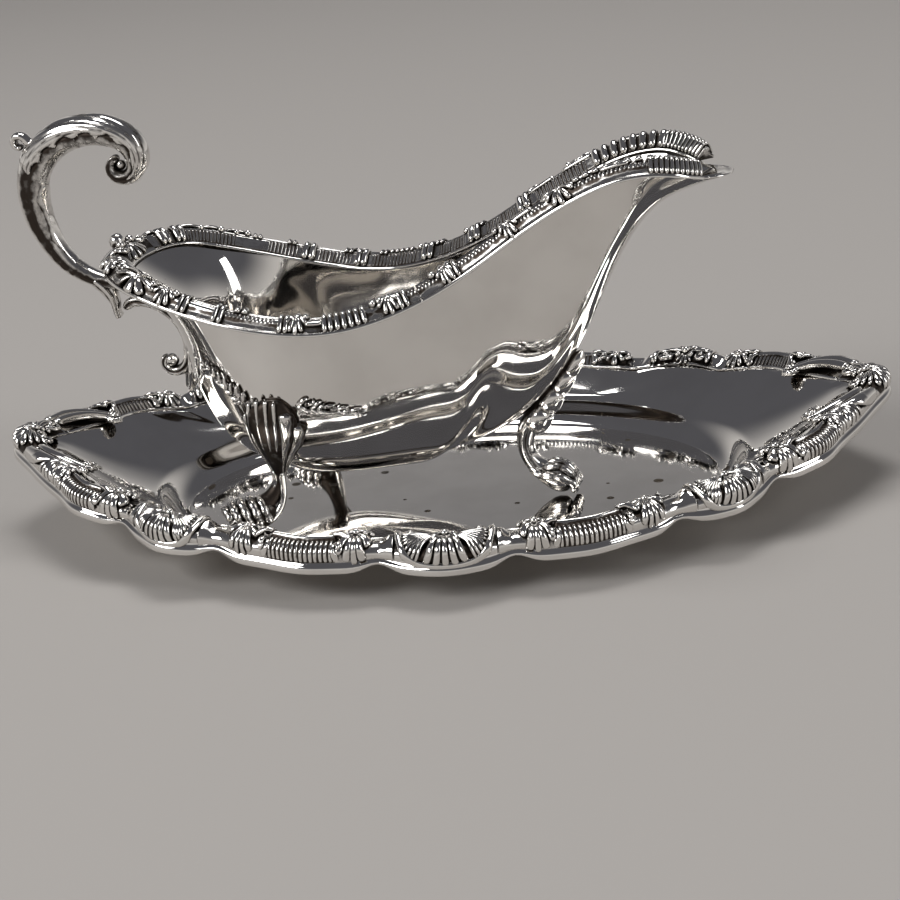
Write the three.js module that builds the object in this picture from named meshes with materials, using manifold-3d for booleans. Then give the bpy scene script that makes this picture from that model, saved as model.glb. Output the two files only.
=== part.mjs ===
// Footed gravy boat on its underplate, in silver plate, millimetres, +Z up.
// The origin is the centre of the underplate's flat base. +X is the long axis, towards the spout.
// The underplate is a pressed dish with a cast border soldered round it in lengths and shells.
// The boat stands loose in the well: a raised bowl with a cast border, two handle scrolls and three feet.
import * as THREE from 'three';
import { mergeVertices } from 'three/addons/utils/BufferGeometryUtils.js';
import Module from 'manifold-3d';

const wasm = await Module();
wasm.setup();

// Clearances and sheet
const SEAT_GAP = 0.3;              // between a casting and what it is soldered to or stands on
const SHEET = 1.3;                 // gauge of the underplate's sheet
const WALL = 1.2;                  // wall of the bowl

// Underplate, outline and heights above the well's floor
const PLATE_HALF_LENGTH = 124.0;   // outline between the shells, on the long axis
const PLATE_HALF_WIDTH = 77.0;     // outline between the shells, across
const PLATE_POINT = 1.29;          // 1 is an ellipse, more draws the ends to a point
const PLATE_TIP_ROUND = 0.15;      // how blunt the pointed ends are
const RIM_LOW = 12.2;              // height of the border's seat in the middle of the sides
const RIM_RISE = 13.0;             // how much higher the seat is at the ends
const RIM_RISE_POWER = 2.55;       // how late along the side it rises
const SKIRT_DEPTH = 5.4;           // plain turned-down edge below the border
const SKIRT_NOTCH = 2.3;           // how much shorter it is in the notches of the outline
const WELL_HALF_LENGTH = 86.5;     // inner edge of the flange
const WELL_HALF_WIDTH = 57.5;
const WELL_DEPTH = 7.8;            // from the flange's inner edge to the floor
const WELL_COVE = 12.0;            // plan width of the well's sloping wall

// Underplate border
const BORDER_WIDTH = 9.8;          // across the cast border
const BORDER_CREST = 4.0;          // height of its moulding above the seat
const SHELL_HALF = [12.0, 10.5, 13.5]; // half spans of the end, corner and middle shells
const CORNER_SHELL_AT = 77.5;      // along the outline from the end
const SHELL_BULGE = 3.2;           // how far the outline swells at a shell
const GADROON_BULGE = 1.8;         // and at a gadroon strip
const NOTCH_DEPTH = 1.3;           // how far it draws in between them
const NOTCH_HALF = 4.6;
const SHELL_RISE = 1.3;            // extra height of a shell over the moulding
const SHELL_RIBS = 7;
const RIB_DEPTH = 0.75;
const HINGE_HALF = 2.6;            // half width of a shell at its hinge
const BORDER_INSET = 0.5;          // from the dish's edge to the border's outer edge
const GADROON_PITCH = 6.1;         // a lobe and the groove beside it
const GADROON_DEPTH = 0.55;
const VOLUTE_AT = 33.0;            // the scroll beside each end shell that curls in over the flange
const VOLUTE_REACH = 5.0;
const FLOWER_RISE = 1.0;           // how far a flower stands above the moulding, and inwards

// Boat, placed in the well
const BOAT_TURN = -11.4;           // degrees, seen from above
const BOAT_X = -2.0;
const BOAT_Y = -4.8;

// Boat rim, centre line of its border, heights above the well's floor
const RIM_BACK = 88.5;
const RIM_SPOUT = 81.5;
const BOWL_HALF_WIDTH = 33.8;
const SPOUT_HALF_WIDTH = 17.0;
const RIM_BACK_HEIGHT = 73.5;
const RIM_WAIST_HEIGHT = 61.4;
const RIM_SPOUT_HEIGHT = 97.8;
const BOWL_CENTRE_X = -22.0;
const BOWL_FLOOR = 10.5;           // underside of the bowl above the well's floor
const LIP_REACH = 5.6;             // plain pouring lip past the border
const LIP_HALF_WIDTH = 8.5;
const BOAT_BORDER_WIDTH = 8.6;
const BOAT_BORDER_CREST = 3.6;
const BORDER_SEAT_DROP = 1.6;      // the border's underside below its centre line
const BORDER_EDGE = 0.9;           // thickness of its edges
const BACK_SHELL_HALF = 10.0;
const BACK_SHELL_REACH = 3.0;
const BACK_SHELL_DROOP = 2.6;
const BOAT_PATTERN = 30.0;         // one gadroon strip and one flower along the boat's border
const RIM_JOINT = 0.27;            // share of the rim's length where the rear and front lengths meet

// Feet
const REAR_FOOT_X = -41.4;         // neck of a rear foot
const REAR_FOOT_Y = 24.0;
const FRONT_FOOT_X = 25.0;         // neck of the front foot
const KNEE_HALF_WIDTH = 9.2;       // half width of the shell on a rear foot
const KNEE_FLUTES = 8;
const TOE_RADIUS = 6.0;
const FLOOR_CUT = 20.0;            // depth of the cut that gives each foot its flat sole

// Handle
const HANDLE_HALF_DEPTH = 4.3;     // across the strap at the leaf
const BEAD_RADIUS = 2.4;

// Facets
const DISH_STEP = 11.0;            // longest facet along the dish's outline
const BOWL_SIDES = 56;
const END_CROWDING = 0.45;         // how much closer the bowl's facets are at its two ends
const RING_STEP = GADROON_PITCH / 2; // between the rings of a border length
const RIB_STEPS = 2;               // rings to one shell rib

const vec = (x, y, z) => new THREE.Vector3(x, y, z);
const bell = (distance, width) => Math.exp(-((distance / width) ** 2));
const smooth = (a, b, x) => THREE.MathUtils.smoothstep(x, a, b);

// Closed mesh from rings of equal length; each end is closed by a fan, or the rings join in a loop
function skin(rings, { loop = false, startPoint = null, endPoint = null } = {}) {
  const count = rings[0].length;
  const points = rings.flat();
  const faces = [];
  const last = loop ? rings.length : rings.length - 1;
  for (let i = 0; i < last; i++) {
    const a = i * count;
    const b = ((i + 1) % rings.length) * count;
    for (let j = 0; j < count; j++) {
      const k = (j + 1) % count;
      faces.push(a + j, b + j, b + k, a + j, b + k, a + k);
    }
  }
  if (!loop) {
    const middle = (ring) => ring.reduce((sum, p) => sum.add(p), vec(0, 0, 0)).divideScalar(count);
    const first = points.push(startPoint ?? middle(rings[0])) - 1;
    const final = points.push(endPoint ?? middle(rings.at(-1))) - 1;
    const base = (rings.length - 1) * count;
    for (let j = 0; j < count; j++) {
      const k = (j + 1) % count;
      faces.push(first, j, k);
      faces.push(final, base + k, base + j);
    }
  }
  return meshFrom(points, faces);
}

// Geometry from points and faces, turned so that its faces point out
function meshFrom(points, faces) {
  let volume = 0;
  for (let i = 0; i < faces.length; i += 3) {
    const [a, b, c] = [points[faces[i]], points[faces[i + 1]], points[faces[i + 2]]];
    volume += a.dot(vec(0, 0, 0).crossVectors(b, c));
  }
  if (volume < 0) {
    for (let i = 0; i < faces.length; i += 3) {
      [faces[i + 1], faces[i + 2]] = [faces[i + 2], faces[i + 1]];
    }
  }
  const geometry = new THREE.BufferGeometry();
  const numbers = points.flatMap((p) => [p.x, p.y, p.z]);
  geometry.setAttribute('position', new THREE.Float32BufferAttribute(numbers, 3));
  geometry.setIndex(faces);
  return geometry;
}

function toSolid(geometry) {
  const bare = geometry.clone();
  bare.deleteAttribute('normal');
  bare.deleteAttribute('uv');
  const merged = mergeVertices(bare, 1e-4);
  return new wasm.Manifold(new wasm.Mesh({
    numProp: 3,
    vertProperties: new Float32Array(merged.attributes.position.array),
    triVerts: new Uint32Array(merged.index.array),
  }));
}

function fromSolid(solid) {
  const mesh = solid.getMesh();
  const geometry = new THREE.BufferGeometry();
  geometry.setAttribute('position', new THREE.BufferAttribute(mesh.vertProperties, 3));
  geometry.setIndex(new THREE.BufferAttribute(mesh.triVerts, 1));
  return geometry;
}

// Underplate outline, walked by arc length from the +X end towards +Y
const OUTLINE_STEPS = 1440;
function plainOutline(angle) {
  const sine = Math.sin(angle);
  const blunt = PLATE_TIP_ROUND ** 2;
  const draw = ((sine * sine + blunt) / (1 + blunt)) ** ((PLATE_POINT - 1) / 2);
  return [PLATE_HALF_LENGTH * Math.cos(angle), PLATE_HALF_WIDTH * sine * draw];
}
const outlineLengths = [0];
for (let i = 1; i <= OUTLINE_STEPS; i++) {
  const [x0, y0] = plainOutline(((i - 1) / OUTLINE_STEPS) * 2 * Math.PI);
  const [x1, y1] = plainOutline((i / OUTLINE_STEPS) * 2 * Math.PI);
  outlineLengths.push(outlineLengths[i - 1] + Math.hypot(x1 - x0, y1 - y0));
}
const AROUND = outlineLengths[OUTLINE_STEPS];
const QUARTER = AROUND / 4;

function outlineAngle(distance) {
  const s = THREE.MathUtils.euclideanModulo(distance, AROUND);
  let low = 0;
  let high = OUTLINE_STEPS;
  while (high - low > 1) {
    const mid = (low + high) >> 1;
    if (outlineLengths[mid] <= s) low = mid;
    else high = mid;
  }
  const share = (s - outlineLengths[low]) / (outlineLengths[high] - outlineLengths[low]);
  return ((low + share) / OUTLINE_STEPS) * 2 * Math.PI;
}

// Distance along the outline from the nearest end, 0 to one quarter, the same in all four quarters
function fold(distance) {
  const s = THREE.MathUtils.euclideanModulo(distance, 2 * QUARTER);
  return Math.min(s, 2 * QUARTER - s);
}

const SHELLS = [
  { at: 0, half: SHELL_HALF[0] },
  { at: CORNER_SHELL_AT, half: SHELL_HALF[1] },
  { at: QUARTER, half: SHELL_HALF[2] },
];
// Places of the other motifs, along the outline from the nearest end
const FLOWERS = [57.0, 132.5];
const SMALL_SHELL = 101.0;
const NOTCHES = [61.5, 93.0, 138.5];
const GADROONS = [[37, 51], [109, 127]];
const SCROLLS = [22, 64, 94, 141];

function swell(distance) {
  const s = fold(distance);
  let out = 0;
  for (const shell of SHELLS) out += SHELL_BULGE * bell(s - shell.at, shell.half * 0.8);
  for (const [from, to] of GADROONS) out += GADROON_BULGE * bell(s - (from + to) / 2, (to - from) / 2);
  for (const notch of NOTCHES) out -= NOTCH_DEPTH * bell(s - notch, NOTCH_HALF);
  return out;
}

function skirtDepth(distance) {
  const s = fold(distance);
  return NOTCHES.reduce((depth, notch) => depth - SKIRT_NOTCH * bell(s - notch, NOTCH_HALF), SKIRT_DEPTH);
}

// Point of the border zone: distance along the outline, then outward from it
function platePoint(distance, outward, height) {
  const angle = outlineAngle(distance);
  const step = 1e-3;
  const [x, y] = plainOutline(angle);
  const [xa, ya] = plainOutline(angle - step);
  const [xb, yb] = plainOutline(angle + step);
  const length = Math.hypot(xb - xa, yb - ya);
  const reach = outward + swell(distance);
  const px = x + ((yb - ya) / length) * reach;
  const py = y - ((xb - xa) / length) * reach;
  return vec(px, py, plateSeat(px) + height);
}

function plateSeat(x) {
  const far = Math.min(Math.abs(x) / (PLATE_HALF_LENGTH + SHELL_BULGE), 1.2);
  return SHEET + RIM_LOW + RIM_RISE * far ** RIM_RISE_POWER;
}

// Plan width of the level zone under the border, wider beside the volutes
function zoneWidth(distance) {
  return BORDER_WIDTH + 1.4 + (VOLUTE_REACH + 0.6) * bell(fold(distance) - VOLUTE_AT, 12);
}

// Pressed dish: floor, coved well, flange, level border zone and turned-down skirt
function dishTop(distance) {
  const angle = outlineAngle(distance);
  const [ox, oy] = plainOutline(angle);
  const oval = (inset, height) => {
    const x = (WELL_HALF_LENGTH - inset) * Math.cos(angle);
    const y = (WELL_HALF_WIDTH - inset) * Math.sin(angle);
    return vec(x, y, SHEET + height);
  };
  const inner = platePoint(distance, -zoneWidth(distance), 0);
  const lip = oval(0, WELL_DEPTH);
  const between = lip.clone().lerp(inner, 0.5);
  between.z -= 0.8 * (Math.hypot(ox, oy) / PLATE_HALF_LENGTH);
  return [
    oval(WELL_COVE, 0),
    oval(WELL_COVE * 0.5, WELL_DEPTH * 0.2),
    oval(WELL_COVE * 0.15, WELL_DEPTH * 0.74),
    lip,
    between,
    inner,
    platePoint(distance, -1.0, 0),
    platePoint(distance, 0, -1.0),
    platePoint(distance, -0.2, -skirtDepth(distance)),
  ];
}

// Facet corners of the dish along a quarter of the outline: on every motif and notch, and evenly between
function quarterPlaces() {
  const shells = SHELLS.flatMap(({ at, half }) => [at - half, at, at + half]);
  const strips = GADROONS.flatMap(([from, to]) => [from, (from + to) / 2, to]);
  const marks = [...shells, ...strips, ...NOTCHES, VOLUTE_AT].filter((s) => s >= 0 && s <= QUARTER);
  marks.sort((a, b) => a - b);
  const places = [0];
  for (const mark of marks) {
    const last = places.at(-1);
    if (mark - last < DISH_STEP / 2) continue;
    const parts = Math.ceil((mark - last) / DISH_STEP);
    for (let i = 1; i <= parts; i++) places.push(last + ((mark - last) * i) / parts);
  }
  return places;
}

function dish() {
  const quarter = quarterPlaces();
  const half = [...quarter, ...quarter.slice(1, -1).reverse().map((s) => 2 * QUARTER - s)];
  const places = [...half, ...half.map((s) => s + 2 * QUARTER)];
  const columns = places.map((distance) => {
    const top = dishTop(distance);
    const under = [
      platePoint(distance, -SHEET - 0.2, -skirtDepth(distance)),
      platePoint(distance, -SHEET - 0.3, -SHEET - 0.4),
      platePoint(distance, -zoneWidth(distance) + 0.3, -SHEET),
    ];
    const drop = vec(0, 0, -SHEET);
    const angle = outlineAngle(distance);
    const push = vec(Math.cos(angle), Math.sin(angle), 0).multiplyScalar(SHEET * 0.8);
    under.push(top[3].clone().addScaledVector(push, 0.6).add(drop));
    under.push(top[2].clone().add(push).addScaledVector(drop, 0.6));
    under.push(top[1].clone().add(push).addScaledVector(drop, 0.8));
    const rest = top[0].clone().addScaledVector(push, 1.4);
    rest.z = 0;
    under.push(rest);
    return [...top, ...under];
  });
  const rings = columns[0].map((_, row) => columns.map((column) => column[row]));
  return skin(rings, { startPoint: vec(0, 0, SHEET), endPoint: vec(0, 0, 0) });
}

// Border relief at a place along the outline: shares across run from the inner edge, 0, to the outer, 1
const ACROSS = [0, 0.14, 0.38, 0.64, 0.87, 1];
const MOULDING = [0.18, 0.66, 0.82, 1.0, 0.72, 0.2]; // shares of the crest's height at these places
const LEAN_FADE = 14;
const SHELL_OVERHANG = 1.4;        // how much wider the border is at a shell

// Positive past the end of a shell, negative within it
const pastShell = (s, shell) => Math.abs(s - shell.at) - shell.half;
const nearer = (s) => (best, shell) => (pastShell(s, shell) < pastShell(s, best) ? shell : best);
const nearestShell = (s) => SHELLS.reduce(nearer(s));

// Height of the moulding outside the shells: flowers, scrolls, small shells, volutes and gadroon lobes
function mouldingCrest(s) {
  let crest = BORDER_CREST + 0.9 * bell(s - SMALL_SHELL, 4) + 0.8 * bell(s - VOLUTE_AT, 3);
  for (const flower of FLOWERS) crest += FLOWER_RISE * bell(s - flower, 2.6);
  for (const scroll of SCROLLS) crest += 0.5 * bell(s - scroll, 4);
  for (const [from, to] of GADROONS) {
    const within = smooth(from - 1, from, s) * (1 - smooth(to, to + 1, s));
    crest += within * (GADROON_DEPTH / 2) * Math.cos(((s - from) / GADROON_PITCH) * 2 * Math.PI);
  }
  return crest;
}

function borderRing(distance) {
  const s = fold(distance);
  const shell = nearestShell(s);
  const past = pastShell(s, shell);
  const inside = past < 0;
  const quarters = Math.floor(THREE.MathUtils.euclideanModulo(distance, AROUND) / QUARTER);
  const off = (s - shell.at) * (quarters % 2 === 0 ? 1 : -1);
  // A shell's ribs close up towards its hinge, and the ends beside it lean to follow
  const lean = inside
    ? off * (1 - HINGE_HALF / shell.half)
    : Math.sign(off) * (shell.half - HINGE_HALF) * Math.max(0, 1 - past / LEAN_FADE) ** 2;
  let reach = VOLUTE_REACH * bell(s - VOLUTE_AT, 3.4);
  for (const flower of FLOWERS) reach += FLOWER_RISE * bell(s - flower, 3);
  if (!inside) reach -= SHELL_OVERHANG * (1 - bell(past, 4.2));
  const ribs = Math.cos((off / shell.half) * Math.PI * SHELL_RIBS) * (RIB_DEPTH / 2);
  const dome = SHELL_RISE * (1 - (off / shell.half) ** 2);
  const crest = inside ? BORDER_CREST + dome + ribs : mouldingCrest(s);
  const place = (share, height) => {
    const outward = THREE.MathUtils.lerp(-BORDER_WIDTH - reach, -BORDER_INSET, share);
    return platePoint(distance - lean * (1 - share), outward, SEAT_GAP + height);
  };
  const top = ACROSS.map((share, i) => place(share, crest * MOULDING[i]));
  return [...top, place(1, 0), place(0, 0)];
}

function borderPiece(from, to, steps) {
  const rings = [];
  for (let i = 0; i <= steps; i++) rings.push(borderRing(THREE.MathUtils.lerp(from, to, i / steps)));
  return skin(rings);
}

// Boat rim: centre line of the border, closed, mirrored across the XZ plane
const rimHalf = [
  [-RIM_BACK, 0, RIM_BACK_HEIGHT],
  [-RIM_BACK + 2.4, BOWL_HALF_WIDTH * 0.39, RIM_BACK_HEIGHT],
  [-RIM_BACK + 9, BOWL_HALF_WIDTH * 0.68, RIM_BACK_HEIGHT - 0.8],
  [-RIM_BACK + 20, BOWL_HALF_WIDTH * 0.86, RIM_BACK_HEIGHT - 3.8],
  [-RIM_BACK + 34, BOWL_HALF_WIDTH * 0.965, RIM_BACK_HEIGHT - 7.6],
  [-RIM_BACK + 51, BOWL_HALF_WIDTH, RIM_WAIST_HEIGHT + 1.0],
  [-RIM_BACK + 68, BOWL_HALF_WIDTH * 0.94, RIM_WAIST_HEIGHT],
  [-RIM_BACK + 85, BOWL_HALF_WIDTH * 0.78, RIM_WAIST_HEIGHT + 3.6],
  [RIM_SPOUT - 68, SPOUT_HALF_WIDTH + 3.2, RIM_SPOUT_HEIGHT - 25],
  [RIM_SPOUT - 52, SPOUT_HALF_WIDTH + 0.6, RIM_SPOUT_HEIGHT - 14.8],
  [RIM_SPOUT - 37, SPOUT_HALF_WIDTH, RIM_SPOUT_HEIGHT - 6],
  [RIM_SPOUT - 24, SPOUT_HALF_WIDTH - 0.4, RIM_SPOUT_HEIGHT - 0.9],
  [RIM_SPOUT - 14, SPOUT_HALF_WIDTH - 1.6, RIM_SPOUT_HEIGHT],
  [RIM_SPOUT - 6.3, SPOUT_HALF_WIDTH - 4.8, RIM_SPOUT_HEIGHT - 1.8],
  [RIM_SPOUT - 1.4, SPOUT_HALF_WIDTH - 10.6, RIM_SPOUT_HEIGHT - 4.2],
  [RIM_SPOUT, 0, RIM_SPOUT_HEIGHT - 5.2],
];
const rimOther = rimHalf.slice(1, -1).reverse().map(([x, y, z]) => [x, -y, z]);
const rimPoints = [...rimHalf, ...rimOther].map((p) => vec(...p));
const rimCurve = new THREE.CatmullRomCurve3(rimPoints, true, 'catmullrom', 0.5);
rimCurve.arcLengthDivisions = 900;
const RIM_LENGTH = rimCurve.getLength();

// Frame on the rim at a share of its length from the back: along it, outward and up from its slope
function rimFrame(share) {
  const u = THREE.MathUtils.euclideanModulo(share, 1);
  const point = rimCurve.getPointAt(u);
  const along = rimCurve.getTangentAt(u);
  const outward = vec(-along.y, along.x, 0).normalize();
  if (outward.dot(vec(point.x - BOWL_CENTRE_X, point.y, 0)) < 0) outward.negate();
  const up = vec(0, 0, 0).crossVectors(along, outward).normalize();
  if (up.z < 0) up.negate();
  return { point, along, outward, up };
}

// Wall profiles from the rim to the floor as shares of the plan reach and of the height
const BACK_PROFILE = [
  [1, 1], [0.86, 0.87], [0.785, 0.73], [0.755, 0.55], [0.7, 0.35], [0.6, 0.17], [0.34, 0.045], [0, 0],
];
const SIDE_PROFILE = [
  [1, 1], [0.985, 0.88], [0.955, 0.74], [0.875, 0.55], [0.735, 0.365], [0.53, 0.19], [0.28, 0.055], [0, 0],
];
const FLANK_PROFILE = [
  [1, 1], [0.985, 0.92], [0.94, 0.84], [0.85, 0.7], [0.7, 0.48], [0.5, 0.22], [0.25, 0.055], [0, 0],
];
const SPOUT_PROFILE = [
  [1, 1], [0.89, 0.945], [0.79, 0.82], [0.69, 0.585], [0.58, 0.335], [0.42, 0.14], [0.21, 0.04], [0, 0],
];
const openCurve = (points) => new THREE.CatmullRomCurve3(points, false, 'catmullrom', 0.5);
const profileCurve = (list) => openCurve(list.map(([a, b]) => vec(a, b, 0)));
const backCurve = profileCurve(BACK_PROFILE);
const sideCurve = profileCurve(SIDE_PROFILE);
const flankCurve = profileCurve(FLANK_PROFILE);
const spoutCurve = profileCurve(SPOUT_PROFILE);

function bowlEdge(share) {
  const { point, outward, up } = rimFrame(share);
  const fromTip = Math.abs(share - 0.5) * RIM_LENGTH;
  const lip = LIP_REACH * (1 - smooth(LIP_HALF_WIDTH * 0.2, LIP_HALF_WIDTH - 1, fromTip));
  const edge = point.clone().addScaledVector(outward, -1.4 + lip);
  return edge.addScaledVector(up, -BORDER_SEAT_DROP - SEAT_GAP);
}

function bowlPoint(share, depth) {
  const edge = bowlEdge(share);
  const bearing = Math.abs(Math.atan2(edge.y, edge.x - BOWL_CENTRE_X)) * THREE.MathUtils.RAD2DEG;
  const toSpout = 1 - smooth(2, 12, bearing);
  const toFlank = (1 - smooth(24, 70, bearing)) * (1 - toSpout);
  const toBack = smooth(118, 168, bearing);
  const at = sideCurve.getPoint(depth).multiplyScalar(1 - toSpout - toFlank - toBack);
  at.addScaledVector(flankCurve.getPoint(depth), toFlank);
  at.addScaledVector(spoutCurve.getPoint(depth), toSpout);
  at.addScaledVector(backCurve.getPoint(depth), toBack);
  const height = BOWL_FLOOR + (edge.z - BOWL_FLOOR) * at.y;
  return vec(BOWL_CENTRE_X + (edge.x - BOWL_CENTRE_X) * at.x, edge.y * at.x, height);
}

function bowlNormal(share, depth) {
  const step = 2e-3;
  const a = bowlPoint(share + step, depth).sub(bowlPoint(share - step, depth));
  const b = bowlPoint(share, Math.min(1, depth + step)).sub(bowlPoint(share, Math.max(0, depth - step)));
  const normal = vec(0, 0, 0).crossVectors(a, b).normalize();
  const here = bowlPoint(share, depth);
  const outward = vec(here.x - BOWL_CENTRE_X, here.y, (here.z - RIM_WAIST_HEIGHT) * 0.6 - 12);
  return normal.dot(outward) < 0 ? normal.negate() : normal;
}

const BOWL_ROWS = [0, 0.06, 0.15, 0.28, 0.42, 0.56, 0.7, 0.84, 0.95];
// Shares of the rim's length at the bowl's columns, closer together at the back and at the spout
const bowlShares = Array.from({ length: BOWL_SIDES }, (_, i) => {
  const even = i / BOWL_SIDES;
  return even - (END_CROWDING * Math.sin(4 * Math.PI * even)) / (4 * Math.PI);
});
function bowlRing(depth, offset) {
  return bowlShares.map((share) => {
    return bowlPoint(share, depth).addScaledVector(bowlNormal(share, depth), offset);
  });
}

function bowl() {
  const outer = BOWL_ROWS.map((depth) => bowlRing(depth, 0)).reverse();
  const inner = BOWL_ROWS.map((depth) => bowlRing(depth, -WALL));
  inner[0] = outer.at(-1).map((p, i) => p.clone().addScaledVector(rimFrame(bowlShares[i]).outward, -WALL));
  const floorOut = vec(BOWL_CENTRE_X, 0, BOWL_FLOOR);
  const floorIn = vec(BOWL_CENTRE_X, 0, BOWL_FLOOR + WALL);
  return skin([...outer, ...inner], { startPoint: floorOut, endPoint: floorIn });
}

// The bowl grown by the seat gap and filled, used to trim what is soldered to it
function bowlCutter() {
  const rows = BOWL_ROWS.map((depth) => bowlRing(depth, SEAT_GAP)).reverse();
  const floor = vec(BOWL_CENTRE_X, 0, BOWL_FLOOR - SEAT_GAP);
  const above = vec(BOWL_CENTRE_X, 0, RIM_SPOUT_HEIGHT + 14);
  return toSolid(skin(rows, { startPoint: floor, endPoint: above }));
}

// Boat border: gadroon strips and flowers, with a fluted shell at the back and thin ends at the lip
function boatBorderRing(share, back) {
  const { point, outward, up } = rimFrame(share);
  const s = Math.min(share, 1 - share) * RIM_LENGTH;
  const toTip = Math.abs(share - 0.5) * RIM_LENGTH;
  const inPattern = THREE.MathUtils.euclideanModulo(s - BACK_SHELL_HALF, BOAT_PATTERN);
  const flower = back ? 0 : bell(Math.min(inPattern, BOAT_PATTERN - inPattern), 3.2);
  const strip = smooth(5, 6, inPattern) * (1 - smooth(24, 25, inPattern));
  const wave = Math.cos(((inPattern - 6) / GADROON_PITCH) * 2 * Math.PI);
  const lobes = back ? 0 : strip * (GADROON_DEPTH / 2) * wave;
  // Across the back shell this is 1 in the middle and 0 at its ends
  const dome = back ? 1 - (s / BACK_SHELL_HALF) ** 2 : 0;
  const ribs = back ? (RIB_DEPTH / 2) * Math.cos((s / BACK_SHELL_HALF) * Math.PI * SHELL_RIBS) : 0;
  const crest = BOAT_BORDER_CREST + 0.9 * flower + lobes + SHELL_RISE * dome + ribs;
  const taper = 0.65 + 0.35 * smooth(LIP_HALF_WIDTH - 1, LIP_HALF_WIDTH + 9, toTip);
  const innerEdge = (-BOAT_BORDER_WIDTH / 2 - 0.6 * flower) * taper;
  const outerEdge = (BOAT_BORDER_WIDTH / 2 + 0.5 * flower + BACK_SHELL_REACH * dome) * taper;
  const place = (across, height) => {
    const n = THREE.MathUtils.lerp(innerEdge, outerEdge, across);
    const sag = BACK_SHELL_DROOP * dome * (2 * Math.max(0, across - 0.5)) ** 2;
    return point.clone().addScaledVector(outward, n).addScaledVector(up, height - BORDER_SEAT_DROP - sag);
  };
  const top = ACROSS.map((a, i) => place(a, BORDER_EDGE + (crest - BORDER_EDGE) * MOULDING[i]));
  const under = back ? [1, 0.5, 0] : [1, 0];
  return [...top, ...under.map((across) => place(across, 0))];
}

function boatBorderPiece(from, to, back = false) {
  const length = (to - from) * RIM_LENGTH;
  const steps = back ? SHELL_RIBS * RIB_STEPS : Math.round(length / RING_STEP);
  const rings = [];
  for (let i = 0; i <= steps; i++) {
    rings.push(boatBorderRing(THREE.MathUtils.lerp(from, to, i / steps), back));
  }
  return skin(rings);
}

// Tube of changing oval section along stations [x, y, z, half width, half thickness, side bearing]
// The side bearing is the plan direction of the half width, in degrees from +X.
function scrollTube(stations, steps, sides, shape = () => 1) {
  const path = openCurve(stations.map(([x, y, z]) => vec(x, y, z)));
  const sizes = openCurve(stations.map((station) => vec(station[3], station[4], station[5])));
  const rings = [];
  for (let i = 0; i <= steps; i++) {
    const t = i / steps;
    const size = sizes.getPoint(t);
    const bearing = size.z * THREE.MathUtils.DEG2RAD;
    const tangent = path.getTangent(t);
    const side = vec(Math.cos(bearing), Math.sin(bearing), 0);
    side.addScaledVector(tangent, -side.dot(tangent)).normalize();
    const normal = vec(0, 0, 0).crossVectors(tangent, side);
    const ring = [];
    for (let j = 0; j < sides; j++) {
      const a = (j / sides) * 2 * Math.PI;
      const grow = shape(a, t);
      const p = path.getPoint(t).addScaledVector(side, Math.cos(a) * size.x * grow);
      ring.push(p.addScaledVector(normal, Math.sin(a) * size.y * grow));
    }
    rings.push(ring);
  }
  return skin(rings);
}

// The handle's stations are x and z from the back of the rim, half depth and half thickness
const fromRimBack = ([x, z, half, thick]) => [x - RIM_BACK, 0, z + RIM_BACK_HEIGHT, half, thick, 90];

// Upper scroll of the handle in the XZ plane: stem from the bowl, C and inward volute
const VOLUTE_CENTRE = [1.6, 25.9];
const BEAD_PLACE = [-27.5, 33.5];
function handleUpper() {
  const strap = [
    [12.5, -9.9, 2.8, 1.9], [4.5, -8.9, 2.8, 1.9], [-4.5, -8.5, 2.9, 2.1], [-12.9, -6.2, 3.0, 2.5],
    [-18.9, -1.7, 3.2, 3.0], [-22.9, 4.3, 3.4, 3.6], [-25.5, 11.5, 3.7, 4.2], [-26.1, 18.5, 4.0, 4.6],
    [-24.5, 25.3, HANDLE_HALF_DEPTH, 5.0], [-19.1, 31.9, HANDLE_HALF_DEPTH, 5.1],
    [-11.8, 35.5, HANDLE_HALF_DEPTH, 4.8], [-5.1, 36.5, HANDLE_HALF_DEPTH, 4.7],
    [0.9, 35.3, 4.2, 4.5], [5.5, 32.1, 4.0, 4.0],
  ];
  const volute = [];
  const turns = 9;
  for (let i = 0; i < turns; i++) {
    const t = i / (turns - 1);
    const angle = THREE.MathUtils.degToRad(THREE.MathUtils.lerp(16, -262, t));
    const radius = THREE.MathUtils.lerp(5.6, 1.9, t ** 0.72);
    const thick = THREE.MathUtils.lerp(3.4, 1.0, t ** 0.6);
    const [x, z] = VOLUTE_CENTRE;
    volute.push([x + radius * Math.cos(angle), z + radius * Math.sin(angle), 3.8 - 1.4 * t, thick]);
  }
  const stations = [...strap, ...volute].map(fromRimBack);
  let solid = toSolid(scrollTube(stations, 44, 10));
  const bead = new THREE.SphereGeometry(BEAD_RADIUS, 8, 6);
  const [beadX, , beadZ] = fromRimBack(BEAD_PLACE);
  bead.translate(beadX, 0, beadZ);
  const neckEnd = [BEAD_PLACE[0] + 0.4, BEAD_PLACE[1], 1.4, 1.3];
  const neck = scrollTube([[-22.5, 32.1, 1.9, 1.5], neckEnd].map(fromRimBack), 1, 8);
  const spur = scrollTube([
    [-10, -8, 2.4, 1.8], [-6.7, -11.9, 2.2, 1.7], [-5.5, -15.9, 1.6, 1.2], [-5, -18.9, 0.9, 0.6],
  ].map(fromRimBack), 5, 8);
  for (const extra of [bead, neck, spur]) solid = solid.add(toSolid(extra));
  return fromSolid(solid.subtract(cutter));
}

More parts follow.
